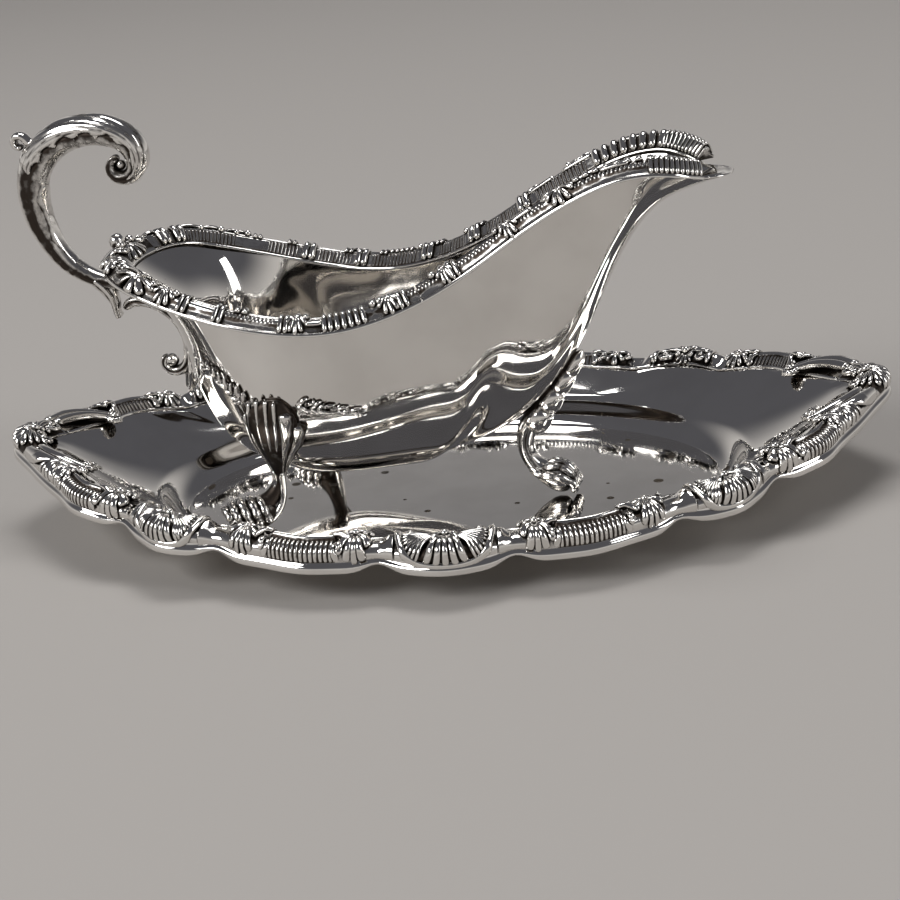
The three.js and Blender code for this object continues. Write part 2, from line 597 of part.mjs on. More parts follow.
// Lower scroll: starts beside the spur, arches to the wall, ends in a small volute and a hanging leaf
function handleLower() {
  const stations = [
    [-3.1, -16.9, 1.6, 1.0], [-1.1, -14.9, 2.2, 1.6], [3.1, -14.4, 2.4, 1.7], [7.9, -15.9, 2.5, 1.8],
    [11.9, -18.9, 2.6, 1.8], [14.5, -23.1, 2.6, 1.9], [15.5, -27.7, 2.6, 1.9], [14.9, -32.1, 2.6, 1.8],
    [12.3, -35.1, 2.5, 1.6], [8.9, -35.3, 2.3, 1.5], [7.1, -33.1, 2.2, 1.3], [8.1, -30.7, 2.1, 1.2],
  ].map(fromRimBack);
  let solid = toSolid(scrollTube(stations, 26, 8));
  const tail = scrollTube([
    [15.6, -28.5, 2.0, 1.4], [15.9, -34, 2.6, 1.4], [15.1, -38.5, 2.2, 1.1], [13.9, -42.1, 0.9, 0.7],
  ].map(fromRimBack), 6, 8);
  solid = solid.add(toSolid(tail));
  return fromSolid(solid.subtract(cutter));
}

// Rear foot: fluted shell knee on the bowl, narrow neck, lobed scroll toe; side is +1 or -1 in Y
function rearFoot(side) {
  const x = REAR_FOOT_X;
  const y = REAR_FOOT_Y;
  const stations = [
    [x - 1.2, y + 6.4, 41.0, KNEE_HALF_WIDTH * 0.42, 1.6, 0],
    [x - 0.8, y + 6.0, 36.8, KNEE_HALF_WIDTH * 0.92, 3.6, 0],
    [x - 0.4, y + 4.8, 31.6, KNEE_HALF_WIDTH, 4.6, 0],
    [x, y + 3.2, 26.2, KNEE_HALF_WIDTH * 0.74, 4.2, 0],
    [x + 0.2, y + 1.6, 20.6, KNEE_HALF_WIDTH * 0.46, 3.4, 8],
    [x, y + 0.4, 15.2, 2.9, 2.6, 20],
    [x - 1.6, y + 0.4, 10.8, 2.9, 2.8, 45],
    [x - 5.0, y + 2.2, 7.6, 4.2, 4.0, 60],
    [x - 9.0, y + 4.4, TOE_RADIUS - 0.6, TOE_RADIUS, TOE_RADIUS - 0.2, 62],
    [x - 12.8, y + 6.4, 6.6, TOE_RADIUS * 0.8, TOE_RADIUS * 0.72, 62],
    [x - 15.0, y + 7.6, 6.8, 1.2, 1.2, 62],
  ].map(([px, py, pz, half, thick, turn]) => [px, py * side, pz, half, thick, turn * side]);
  const flute = (a, t) => {
    const knee = 1 - smooth(0.28, 0.5, t);
    const toe = smooth(0.68, 0.76, t) * (1 - smooth(0.93, 1, t));
    return 1 + 0.07 * knee * Math.cos(a * KNEE_FLUTES) + 0.05 * toe * Math.cos(t * 90);
  };
  const solid = toSolid(scrollTube(stations, 21, 16, flute));
  return fromSolid(solid.subtract(cutter).subtract(floorCutter));
}

// Front foot: overlapping leaves up the keel of the bowl, curved leg and scroll toe
function frontFoot() {
  const x = FRONT_FOOT_X;
  const leaf = (t) => {
    const climb = 1 - smooth(0.34, 0.42, t);
    return 1 + 0.22 * climb * (((t * 13) % 1) - 0.5);
  };
  const stations = [
    [x + 15.4, 40.5, 1.4, 1.5], [x + 12.2, 36.0, 2.6, 2.6], [x + 7.6, 29.4, 3.6, 3.2],
    [x + 3.0, 24.0, 4.2, 3.5], [x + 0.2, 19.6, 4.2, 3.3], [x - 0.6, 15.6, 3.6, 2.7],
    [x + 0.2, 11.6, 3.4, 2.6], [x + 2.8, 8.0, 3.8, 3.2], [x + 6.4, 6.0, 4.6, 4.4],
    [x + 9.8, 4.6, 5.0, 5.0], [x + 12.8, 5.2, 4.0, 3.8], [x + 14.2, 5.6, 1.2, 1.2],
  ].map(([px, pz, half, thick]) => [px, 0, pz, half, thick, 90]);
  const solid = toSolid(scrollTube(stations, 22, 12, (a, t) => leaf(t)));
  return fromSolid(solid.subtract(cutter).subtract(floorCutter));
}

// Solid below the plane that the feet stand on, so that each foot rests on a small flat
function belowFloor() {
  const slab = new THREE.BoxGeometry(4 * RIM_BACK, 4 * BOWL_HALF_WIDTH, FLOOR_CUT);
  slab.translate(0, 0, -FLOOR_CUT / 2);
  return toSolid(slab);
}

const cutter = bowlCutter();
const floorCutter = belowFloor();

const finishes = {
  sheet: new THREE.MeshStandardMaterial({ color: 0xd4d2ce, roughness: 0.08, metalness: 1 }),
  casting: new THREE.MeshStandardMaterial({ color: 0xb9b6b0, roughness: 0.22, metalness: 1 }),
};

function named(name, geometry, finish) {
  const mesh = new THREE.Mesh(geometry, finish);
  geometry.computeVertexNormals();
  mesh.name = name;
  return mesh;
}

const part = new THREE.Group();
const underplate = new THREE.Group();
underplate.add(named('underplate_dish', dish(), finishes.sheet));

const shellPlaces = [
  ['shell_end_right', 0, 0],
  ['shell_corner_back_right', CORNER_SHELL_AT, 1],
  ['shell_side_back', QUARTER, 2],
  ['shell_corner_back_left', 2 * QUARTER - CORNER_SHELL_AT, 1],
  ['shell_end_left', 2 * QUARTER, 0],
  ['shell_corner_front_left', 2 * QUARTER + CORNER_SHELL_AT, 1],
  ['shell_side_front', 3 * QUARTER, 2],
  ['shell_corner_front_right', 4 * QUARTER - CORNER_SHELL_AT, 1],
];
for (const [name, at, kind] of shellPlaces) {
  const half = SHELL_HALF[kind];
  underplate.add(named(name, borderPiece(at - half, at + half, SHELL_RIBS * RIB_STEPS), finishes.casting));
}
const lengthNames = [
  'border_end_back_right', 'border_side_back_right', 'border_side_back_left', 'border_end_back_left',
  'border_end_front_left', 'border_side_front_left', 'border_side_front_right', 'border_end_front_right',
];
lengthNames.forEach((name, i) => {
  const [, fromAt, fromKind] = shellPlaces[i];
  const [, nextAt, toKind] = shellPlaces[(i + 1) % shellPlaces.length];
  const toAt = nextAt > fromAt ? nextAt : nextAt + AROUND;
  const from = fromAt + SHELL_HALF[fromKind] + SEAT_GAP;
  const to = toAt - SHELL_HALF[toKind] - SEAT_GAP;
  underplate.add(named(name, borderPiece(from, to, Math.round((to - from) / RING_STEP)), finishes.casting));
});

const boat = new THREE.Group();
boat.position.set(BOAT_X, BOAT_Y, SHEET + SEAT_GAP);
boat.rotation.z = BOAT_TURN * THREE.MathUtils.DEG2RAD;
boat.add(named('bowl', bowl(), finishes.sheet));
const backHalf = BACK_SHELL_HALF / RIM_LENGTH;
const gap = SEAT_GAP / RIM_LENGTH;
const lipHalf = LIP_HALF_WIDTH / RIM_LENGTH;
const rimPieces = [
  ['rim_border_rear_left', backHalf + gap, RIM_JOINT],
  ['rim_border_front_left', RIM_JOINT + gap, 0.5 - lipHalf],
  ['rim_border_front_right', 0.5 + lipHalf, 1 - RIM_JOINT - gap],
  ['rim_border_rear_right', 1 - RIM_JOINT, 1 - backHalf - gap],
];
boat.add(named('rim_shell_back', boatBorderPiece(-backHalf, backHalf, true), finishes.casting));
for (const [name, from, to] of rimPieces) boat.add(named(name, boatBorderPiece(from, to), finishes.casting));
boat.add(named('handle_upper_scroll', handleUpper(), finishes.casting));
boat.add(named('handle_lower_scroll', handleLower(), finishes.casting));
boat.add(named('foot_rear_left', rearFoot(1), finishes.casting));
boat.add(named('foot_rear_right', rearFoot(-1), finishes.casting));
boat.add(named('foot_front', frontFoot(), finishes.casting));

part.add(underplate, boat);

export default part;
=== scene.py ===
import math

import bpy
import numpy as np
from mathutils import Matrix, Vector

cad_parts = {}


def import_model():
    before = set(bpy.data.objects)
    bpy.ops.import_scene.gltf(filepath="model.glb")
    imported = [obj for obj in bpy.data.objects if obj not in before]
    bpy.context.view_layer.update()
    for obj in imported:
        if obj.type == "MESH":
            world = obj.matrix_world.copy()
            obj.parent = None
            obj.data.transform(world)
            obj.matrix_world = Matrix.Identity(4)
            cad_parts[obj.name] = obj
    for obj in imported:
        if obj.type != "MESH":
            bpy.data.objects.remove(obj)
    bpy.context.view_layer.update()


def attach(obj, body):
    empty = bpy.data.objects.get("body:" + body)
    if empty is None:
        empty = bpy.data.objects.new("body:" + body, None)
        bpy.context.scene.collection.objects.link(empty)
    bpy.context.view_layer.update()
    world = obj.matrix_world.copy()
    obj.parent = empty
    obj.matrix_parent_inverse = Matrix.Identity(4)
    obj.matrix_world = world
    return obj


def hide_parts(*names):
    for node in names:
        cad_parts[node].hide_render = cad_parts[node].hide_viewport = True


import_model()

MM = 0.001

# Underplate, as in the CAD model
SHEET = 1.3
PLATE_HALF_LENGTH = 124.0
PLATE_HALF_WIDTH = 77.0
PLATE_POINT = 1.29
PLATE_TIP_ROUND = 0.15
RIM_LOW = 12.2
RIM_RISE = 13.0
RIM_RISE_POWER = 2.55
SKIRT_DEPTH = 5.4
SKIRT_NOTCH = 2.3
WELL_HALF_LENGTH = 86.5
WELL_HALF_WIDTH = 57.5
WELL_DEPTH = 7.8
WELL_COVE = 12.0
BORDER_WIDTH = 9.8
SHELL_HALF = (12.0, 10.5, 13.5)
CORNER_SHELL_AT = 77.5
SHELL_BULGE = 3.2
GADROON_BULGE = 1.8
NOTCH_DEPTH = 1.3
NOTCH_HALF = 4.6
FLOWERS = (57.0, 132.5)
SMALL_SHELL = 101.0
NOTCHES = (61.5, 93.0, 138.5)
GADROONS = ((37.0, 51.0), (109.0, 127.0))
VOLUTE_AT = 33.0
SEAT_GAP = 0.3

# Boat, as in the CAD model
BOAT_TURN = math.radians(-11.4)
BOAT_X = -2.0
BOAT_Y = -4.8
BOAT_Z = SHEET + SEAT_GAP
RIM_BACK = 88.5
RIM_SPOUT = 81.5
BOWL_HALF_WIDTH = 33.8
SPOUT_HALF_WIDTH = 17.0
RIM_BACK_HEIGHT = 73.5
RIM_WAIST_HEIGHT = 61.4
RIM_SPOUT_HEIGHT = 97.8
BOWL_CENTRE_X = -22.0
BOWL_FLOOR = 10.5
WALL = 1.2
LIP_REACH = 5.6
LIP_HALF_WIDTH = 8.5
BORDER_SEAT_DROP = 1.6
BACK_SHELL_HALF = 10.0
RIM_JOINT = 0.27
FRONT_FOOT_X = 25.0

# Only in this script
# Level strip that carries the plate's border; the CAD model's widens beside the scroll
ZONE_WIDTH = BORDER_WIDTH + 1.4
LIP_RISE = 0.25                    # rise of the lip for each millimetre outward
LIP_BARE = 3.2                     # bare edge between the end of the border and the lip
RIB_PITCH = 1.25                   # fine ribs of the gadroon strips


def smooth(a, b, x):
    t = np.clip((x - a) / (b - a), 0, 1)
    return t * t * (3 - 2 * t)


def bell(x, width):
    return np.exp(-(x / width) ** 2)


def unit(v):
    return v / np.maximum(np.linalg.norm(v, axis=-1, keepdims=True), 1e-9)


def circle(count):
    return np.linspace(0, 2 * np.pi, count, endpoint=False)


def spline(points, closed=False):
    """Smooth curve through points; returns a function of the share of its chord length."""
    p = np.asarray(points, float)
    if closed:
        p = np.vstack([p, p[:1]])
    count = len(p)
    gaps = np.linalg.norm(np.diff(p[:, :3], axis=0), axis=1)
    knots = np.concatenate([[0], np.cumsum(gaps)])
    system = np.zeros((count, count))
    right = np.zeros_like(p)
    for i in range(1, count - 1):
        system[i, i - 1:i + 2] = gaps[i - 1], 2 * (gaps[i - 1] + gaps[i]), gaps[i]
        right[i] = 6 * ((p[i + 1] - p[i]) / gaps[i] - (p[i] - p[i - 1]) / gaps[i - 1])
    if closed:
        system[0, [0, 1, -2, -1]] = 2 * gaps[0], gaps[0], gaps[-1], 2 * gaps[-1]
        right[0] = 6 * ((p[1] - p[0]) / gaps[0] - (p[-1] - p[-2]) / gaps[-1])
        system[-1, [0, -1]] = 1, -1
    else:
        system[0, 0] = system[-1, -1] = 1
    bend = np.linalg.solve(system, right)

    def at(share):
        x = np.asarray(share, float) * knots[-1]
        i = np.clip(np.searchsorted(knots, x, side="right") - 1, 0, count - 2)
        g = gaps[i][..., None]
        b = ((x - knots[i]) / gaps[i])[..., None]
        a = 1 - b
        curve = (a ** 3 - a) * bend[i] + (b ** 3 - b) * bend[i + 1]
        return a * p[i] + b * p[i + 1] + curve * g * g / 6

    return at


class Casting:
    """Closed skins gathered into one mesh, in millimetres, with how dark each point is painted, for oxide in
    the hollows and for shade.
    """

    def __init__(self, place=None):
        """place moves points from where they are worked out to where they belong."""
        self.place = place
        self.points, self.recess, self.faces, self.count = [], [], [], 0

    def skin(self, rings, recess=0.0):
        """Joins closed rings in a row and closes both ends with a fan."""
        rings = np.asarray(rings, float)
        rows, across = rings.shape[:2]
        if self.place is not None:
            rings = self.place(rings)
        recess = np.broadcast_to(recess, (rows, across)).astype(float)
        points = np.vstack([rings.reshape(-1, 3), rings[0].mean(0), rings[-1].mean(0)])
        depth = np.concatenate([recess.ravel(), [recess[0].mean(), recess[-1].mean()]])
        row = (np.arange(rows - 1) * across)[:, None]
        j = np.arange(across)[None, :]
        k = (j + 1) % across
        quads = np.stack([row + j, row + across + j, row + across + k, row + k], -1).reshape(-1, 4)
        first, last, base = rows * across, rows * across + 1, (rows - 1) * across
        flat, next_flat = j.ravel(), k.ravel()
        start = np.stack([np.full(across, first), flat, next_flat], -1)
        end = np.stack([np.full(across, last), base + next_flat, base + flat], -1)
        triangles = np.vstack([start, end])
        fans = np.vstack([quads[:, [0, 1, 2]], quads[:, [0, 2, 3]], triangles])
        middle = points.mean(0)
        a, b, c = (points[fans[:, m]] - middle for m in range(3))
        if np.einsum("ij,ij->i", a, np.cross(b, c)).sum() < 0:
            quads = quads[:, ::-1]
            triangles = triangles[:, ::-1]
        self.points.append(points)
        self.recess.append(depth)
        self.faces.append((quads + self.count, triangles + self.count))
        self.count += len(points)

    def build(self, name, material, body, slot, nodes, settle=None):
        """Makes the piece; settle moves the points from the piece's own frame to the object's."""
        points = np.vstack(self.points)
        if settle is not None:
            points = settle(points)
        quads = np.vstack([f[0] for f in self.faces])
        triangles = np.vstack([f[1] for f in self.faces])
        loops = np.concatenate([quads.ravel(), triangles.ravel()]).astype(np.int32)
        sizes = np.concatenate([np.full(len(quads), 4), np.full(len(triangles), 3)])
        starts = np.concatenate([[0], np.cumsum(sizes)[:-1]]).astype(np.int32)
        mesh = bpy.data.meshes.new(name)
        mesh.vertices.add(len(points))
        mesh.vertices.foreach_set("co", (points * MM).astype(np.float32).ravel())
        mesh.loops.add(len(loops))
        mesh.loops.foreach_set("vertex_index", loops)
        mesh.polygons.add(len(sizes))
        mesh.polygons.foreach_set("loop_start", starts)
        mesh.polygons.foreach_set("use_smooth", np.ones(len(sizes), bool))
        mesh.update(calc_edges=True)
        # Darkness per point, painted for oxide in the hollows and for shade on undersides and in crevices
        layer = mesh.attributes.new("recess", "FLOAT", "POINT")
        layer.data.foreach_set("value", np.concatenate(self.recess).astype(np.float32))
        mesh.materials.append(material)
        piece = bpy.data.objects.new(name, mesh)
        bpy.context.scene.collection.objects.link(piece)
        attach(piece, body)
        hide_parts(*nodes)


def tube_rings(stations, steps, sides, side=None, shape=None):
    """Rings of an oval tube through stations of x, y, z, half width and half thickness."""
    share = np.linspace(0, 1, steps + 1)
    at = spline(stations)
    data = at(share)
    path = data[:, :3]
    ahead = at(np.clip(share + 1e-3, 0, 1))[:, :3] - at(np.clip(share - 1e-3, 0, 1))[:, :3]
    along = unit(ahead)
    if side is None:
        across = unit(np.cross(np.broadcast_to((0, 0, 1), along.shape), along))
    else:
        wide = np.broadcast_to(side, along.shape)
        across = unit(wide - (wide * along).sum(1, keepdims=True) * along)
    lift = np.cross(along, across)
    angle = circle(sides)
    grow = np.ones((steps + 1, sides)) if shape is None else shape(angle[None, :], share[:, None])
    wide = (data[:, 3:4] * np.cos(angle) * grow)[..., None] * across[:, None]
    tall = (data[:, 4:5] * np.sin(angle) * grow)[..., None] * lift[:, None]
    return path[:, None] + wide + tall


def round_ends(share, start=0.08, end=0.08):
    """Factor that draws a tube in to a round end at each side."""
    a = np.clip(share / start, 0, 1)
    b = np.clip((1 - share) / end, 0, 1)
    return np.sqrt(np.maximum(1 - (1 - a) ** 2, 0.0)) * np.sqrt(np.maximum(1 - (1 - b) ** 2, 0.0))


def rounded(start, end, least):
    """Shape of a plain tube that is drawn in to a round end at each side."""
    def shape(angle, share):
        return np.maximum(round_ends(share, start, end), least) * np.ones_like(angle)

    return shape


# Underplate outline by arc length from the +X end towards +Y
TURN = np.linspace(0, 2 * np.pi, 14401)


def plain_outline(angle):
    sine = np.sin(angle)
    blunt = PLATE_TIP_ROUND ** 2
    draw = ((sine * sine + blunt) / (1 + blunt)) ** ((PLATE_POINT - 1) / 2)
    return PLATE_HALF_LENGTH * np.cos(angle), PLATE_HALF_WIDTH * sine * draw


outline_x, outline_y = plain_outline(TURN)
outline_lengths = np.concatenate([[0], np.cumsum(np.hypot(np.diff(outline_x), np.diff(outline_y)))])
AROUND = outline_lengths[-1]
QUARTER = AROUND / 4


def fold(distance):
    s = np.mod(distance, 2 * QUARTER)
    return np.minimum(s, 2 * QUARTER - s)


def swell(distance):
    s = fold(distance)
    out = 0
    for at, half in zip((0, CORNER_SHELL_AT, QUARTER), SHELL_HALF):
        out = out + SHELL_BULGE * bell(s - at, half * 0.8)
    for start, end in GADROONS:
        out = out + GADROON_BULGE * bell(s - (start + end) / 2, (end - start) / 2)
    for notch in NOTCHES:
        out = out - NOTCH_DEPTH * bell(s - notch, NOTCH_HALF)
    return out


def skirt_depth(distance):
    s = fold(distance)
    return SKIRT_DEPTH - SKIRT_NOTCH * sum(bell(s - notch, NOTCH_HALF) for notch in NOTCHES)


def plate_seat(x):
    far = np.minimum(np.abs(x) / (PLATE_HALF_LENGTH + SHELL_BULGE), 1.2)
    return SHEET + RIM_LOW + RIM_RISE * far ** RIM_RISE_POWER


EDGE_RADIUS = 1.4                  # the border castings turn down over the edge at this radius
EDGE_INSET = 1.1                   # and lie this far inside the outline there
EDGE_FLAT = 0.4                    # share by which relief is lower where it has turned down
EDGE_MOST = -0.05                  # nothing on the border comes further out than this


def outline_place(distance, outward):
    """Plan position at a distance along the outline and outward from it."""
    angle = np.interp(np.mod(distance, AROUND), outline_lengths, TURN)
    step = 1e-3
    x, y = plain_outline(angle)
    xa, ya = plain_outline(angle - step)
    xb, yb = plain_outline(angle + step)
    length = np.hypot(xb - xa, yb - ya)
    reach = outward + swell(distance)
    return x + (yb - ya) / length * reach, y - (xb - xa) / length * reach


def plate_point(distance, outward, height):
    px, py = outline_place(distance, outward)
    return np.stack([px, py, plate_seat(px) + height], -1)


def on_plate(p):
    """Border place from distance along the outline, reach and height; it turns down at the edge."""
    reach, height = p[..., 1], p[..., 2]
    start = -EDGE_INSET - EDGE_RADIUS
    bent = np.clip((reach - start) / EDGE_RADIUS, 0, math.pi / 2)
    past = np.maximum(reach - start - EDGE_RADIUS * math.pi / 2, 0)
    height = height * (1 - EDGE_FLAT * bent / (math.pi / 2))
    outward = np.minimum(reach, start) + (EDGE_RADIUS + height) * np.sin(bent)
    outward = np.minimum(outward, EDGE_MOST)
    upward = (EDGE_RADIUS + height) * np.cos(bent) - EDGE_RADIUS - past
    return plate_point(p[..., 0], outward, upward)


# Section of the dish's turned edge: outward, height, and how much of the skirt's depth comes below it
EDGE_SECTION = (
    (-6.0, 0, 0), (-2.6, -0.02, 0), (-1.9, -0.25, 0), (-1.5, -0.55, 0), (-1.35, -0.7, 0.05),
    (-1.22, -0.7, 0.15), (-1.12, -0.7, 0.27), (-0.95, -0.7, 0.36), (-0.5, -0.7, 0.44), (-0.15, -0.65, 0.52),
    (0.0, -0.55, 0.63), (-0.02, -0.4, 0.77), (-0.08, -0.2, 0.9), (-0.2, -0.05, 0.97), (-0.45, 0, 1),
    (-0.75, 0.05, 0.98), (-1.0, 0.1, 0.92), (-1.15, 0.1, 0.75), (-1.25, -0.4, 0.4), (-1.7, -1.3, 0.12),
    (-3.0, -SHEET, 0), (-8.0, -SHEET, 0),
)
FLANGE_SAG = 0.045                 # how hollow the flange is, as a share of its width
EVEN_SWELL = 1.0                   # mean swell of the outline, which the flange's slope follows
DISH_COLUMNS = 480
WELL_ROWS = 14
COVE_ROWS = 22
FLANGE_ROWS = 24
JOIN_ROW = 20                      # the rows from here outward are evened out


def level_ring(wave, inset, height):
    """Ring of the well or its cove, this far inside the well's edge."""
    flat = wave * [WELL_HALF_LENGTH - inset, WELL_HALF_WIDTH - inset]
    return np.column_stack([flat, np.full(DISH_COLUMNS, height)])


def dish_top(distance, wave):
    """Upper side: flat well, coved wall, rising flange, level zone under the border."""
    rim = plate_point(distance, -ZONE_WIDTH, 0)
    even = plate_point(distance, EVEN_SWELL - ZONE_WIDTH - swell(distance), 0)
    lip = wave * [WELL_HALF_LENGTH, WELL_HALF_WIDTH]
    span = np.linalg.norm(even[:, :2] - lip, axis=1)
    rows = [level_ring(share * wave, WELL_COVE, SHEET) for share in np.linspace(0.02, 1, WELL_ROWS)]
    for t in np.linspace(0, 1, COVE_ROWS)[1:]:
        u = t * t
        rows.append(level_ring(wave, WELL_COVE * (1 - t), SHEET + WELL_DEPTH * (u * u * (3 - 2 * u))))
    for t in np.linspace(0, 1, FLANGE_ROWS)[1:]:
        flat = lip + (rim[:, :2] - lip) * t
        share = np.minimum(np.linalg.norm(flat - lip, axis=1) / span, 1)
        sag = FLANGE_SAG * span * 4 * share * (1 - share)
        height = SHEET + WELL_DEPTH + (even[:, 2] - SHEET - WELL_DEPTH) * share - sag
        rows.append(np.column_stack([flat, height]))
    top = np.array(rows)
    for _ in range(2):
        nearer, farther = top[JOIN_ROW - 1:-2], top[JOIN_ROW + 1:]
        top[JOIN_ROW:-1] = 0.25 * nearer + 0.5 * top[JOIN_ROW:-1] + 0.25 * farther
    return top


def dish():
    """Pressed dish with its turned skirt, closed by an underside one sheet below the top."""
    angle = circle(DISH_COLUMNS)
    distance = np.interp(angle, TURN, outline_lengths)
    top = dish_top(distance, np.stack([np.cos(angle), np.sin(angle)], -1))
    deep = skirt_depth(distance)
    edge = [plate_point(distance, outward, height - share * deep) for outward, height, share in EDGE_SECTION]
    normals = unit(np.cross(np.roll(top, -1, 1) - np.roll(top, 1, 1), np.gradient(top, axis=0)))
    normals *= np.sign(normals[..., 2:])
    under = (top - normals * SHEET)[::-1]
    under[..., 2] = np.maximum(under[..., 2], 0.0)
    plate = Casting()
    plate.skin(np.concatenate([top, np.array(edge), under]))
    return plate


BAR_SIDES = 12
BALL_RINGS = 9
BALL_SIDES = 12
PETAL_SIDES = 8
PETAL_STEPS = 12
STRIP_STEP = 0.15                  # length of one step along a border strip


def bar(casting, stations, steps=None, fade=0.1):
    """Smooth moulding along stations of s, n, h, half width, half height."""
    count = steps or max(10, int(np.ptp([p[0] for p in stations]) * 2.2))
    rings = tube_rings(stations, count, BAR_SIDES, shape=rounded(fade, fade, 0.02))
    # Underside painted dark, as shade and oxide
    casting.skin(rings, np.clip((0.15 - np.sin(circle(BAR_SIDES))) * 0.9, 0, 1))


def ball(casting, centre, radius):
    """Bead, as rings from pole to pole along s."""
    polar = np.linspace(0.12, np.pi - 0.12, BALL_RINGS)
    angle = circle(BALL_SIDES)
    s = centre[0] - radius * np.cos(polar)[:, None] * np.ones(BALL_SIDES)
    n = centre[1] + radius * np.sin(polar)[:, None] * np.cos(angle)
    h = centre[2] + radius * np.sin(polar)[:, None] * np.sin(angle)
    # Lower half painted dark, as shade and oxide
    casting.skin(np.stack([s, n, h], -1), np.clip(-np.sin(angle) - 0.1, 0, 1))


def petal(casting, path, width, height, root=0.35, shade=0.3):
    """Rib that widens from its root to a round tip along a path of s, n, h; painted dark but for its crest,
    as oxide and shade.
    """
    at = spline(path)
    t = np.linspace(0, 1, PETAL_STEPS + 1)
    tip = np.sqrt(np.clip(1 - np.clip((t - 0.82) / 0.19, 0, 1) ** 2, 0.01, 1))
    size = (root + (1 - root) * t ** 0.8) * tip
    centre = at(t)
    along = unit(at(np.clip(t + 0.01, 0, 1)) - at(np.clip(t - 0.01, 0, 1)))
    across = unit(np.cross([0, 0, 1.0], along))
    lift = np.cross(along, across)
    angle = circle(PETAL_SIDES)
    rings = centre[:, None] + (size[:, None] * width * np.cos(angle))[..., None] * across[:, None]
    rings = rings + (size[:, None] * height * np.sin(angle))[..., None] * lift[:, None]
    casting.skin(rings, np.clip((shade - np.sin(angle)) * 1.6, 0, 1))


# Height of a rib of a fan above its ground, along its length, as shares of its rise
RIB_RISE = ((0.0, 0.5), (0.28, 1.0), (0.55, 1.0), (0.8, 0.65), (1.0, 0.0))


def rib_fan(casting, hinge, size, turns, ground, rise, fill=0.7, start=0.06, bow=0.0):
    """Ribs from a hinge, at angles in degrees, to an elliptic edge of the given half span and reach."""
    half, reach = size
    step = math.radians(abs(turns[1] - turns[0]))
    for turn in np.radians(turns):
        ds, dn = half * math.sin(turn), reach * math.cos(turn)
        pitch = step * math.hypot(half * math.cos(turn), reach * math.sin(turn))
        wide = max(0.5 * fill * pitch, 0.24)
        side = bow * math.sin(turn)
        path = []
        for t, lift in RIB_RISE:
            share = start + (1 - start) * t
            bend = math.sin(math.pi * share)
            n = hinge[1] + dn * share + math.copysign(abs(side) * bend, reach)
            path.append([hinge[0] + ds * share + side * bend * 0.4, n, float(ground(n)) + rise * lift])
        petal(casting, path, wide, min(0.85, 0.3 + 0.5 * wide))


def volute(casting, centre, start_radius, turns, hand, start_angle, width, height, ribs=0, base=1.6):
    """Scroll that winds inward in plan and rises a little, with a bead in its eye."""
    count = int(14 * turns)
    path = []
    for i in range(count + 1):
        t = i / count
        angle = math.radians(start_angle) + hand * 2 * math.pi * turns * t
        radius = start_radius * (1 - 0.72 * t)
        size = width * (1 - 0.45 * t)
        path.append([centre[0] + radius * math.cos(angle), centre[1] + radius * math.sin(angle),
                     base + 0.5 * t, size, height * (1 - 0.3 * t)])

    def shape(angle, share):
        cut = 1 - 0.16 * np.abs(np.cos(np.pi * ribs * share)) ** 3 if ribs else 1.0
        return cut * np.maximum(round_ends(share, 0.06, 0.05), 0.02) * np.ones_like(angle)

    rings = tube_rings(path, count * 4, 12, shape=shape)
    angle = circle(12)
    # Underside painted dark, as shade and oxide
    casting.skin(rings, np.clip(0.2 - np.sin(angle), 0, 1) * 0.8)
    ball(casting, (centre[0], centre[1], base + 1.0), start_radius * 0.36)


def blend(sections, weights):
    return sum(section * weight for section, weight in zip(sections, weights))


def strip(casting, s, reach, height, recess, base):
    """Closed strip with its top given on a grid of s by reach, and a floor at base below its two edges."""
    top = np.stack(np.broadcast_arrays(s[:, None], reach, height), -1)
    ends = top[:, [-1, 0]].copy()
    ends[..., 2] = base
    dark = np.hstack([np.broadcast_to(recess, height.shape), np.ones((len(s), 2))])
    casting.skin(np.concatenate([top, ends], 1), dark)


# Section of the plate's border: reach across it, then its height in three kinds of stretch
PLATE_REACH = np.array([-9.8, -9.65, -9.4, -9.15, -8.95, -8.6, -8.2, -7.7, -7.2, -6.8, -6.5, -6.2, -5.8,
                        -5.4, -5.0, -4.7, -4.5, -4.3, -4.0, -3.5, -3.0, -2.4, -1.8, -1.2, -0.8, -0.4,
                        -0.1, 0.2, 0.5, 0.8])
RIBBED = np.interp(PLATE_REACH,
                   [-9.8, -9.65, -9.4, -9.15, -8.95, -8.2, -7.2, -6.6, -6.2, -5.4, -4.8, -4.5, -4.2, -3.0,
                    -1.8, -0.8, -0.4, -0.1, 0.2, 0.8],
                   [0.0, 0.5, 0.8, 0.55, 0.35, 1.2, 2.3, 2.6, 3.2, 3.6, 3.2, 2.3, 2.6, 2.5, 1.9, 1.3, 1.15,
                    1.05, 0.85, 0.0])
ROLLED = np.interp(PLATE_REACH, [-9.8, -9.4, -8.95, -8.2, -7.2, -6.2, -5.4, -4.0, -2.4, -1.2, -0.4, 0.8],
                   [0.0, 0.7, 0.5, 1.7, 2.7, 3.1, 3.1, 2.6, 1.8, 1.1, 0.6, 0.0])
SUNKEN = np.interp(PLATE_REACH, [-9.8, -9.4, -8.95, -8.2, -7.2, -6.2, -5.0, -4.0, -2.4, -1.2, -0.4, 0.8],
                   [0.0, 0.7, 0.4, 0.45, 0.7, 1.1, 1.6, 1.7, 1.2, 0.8, 0.45, 0.0])
SLOPE_REACH = (-9.8, -9.0, -7.6, -6.4, -5.0, -3.4, -1.8, -0.4, 0.8)
SLOPE_HEIGHT = (0.2, 0.9, 2.2, 2.8, 2.7, 2.0, 1.2, 0.5, 0)


def plate_slope(reach):
    """Ground under the ornaments of the plate's border."""
    return np.interp(reach, SLOPE_REACH, SLOPE_HEIGHT)


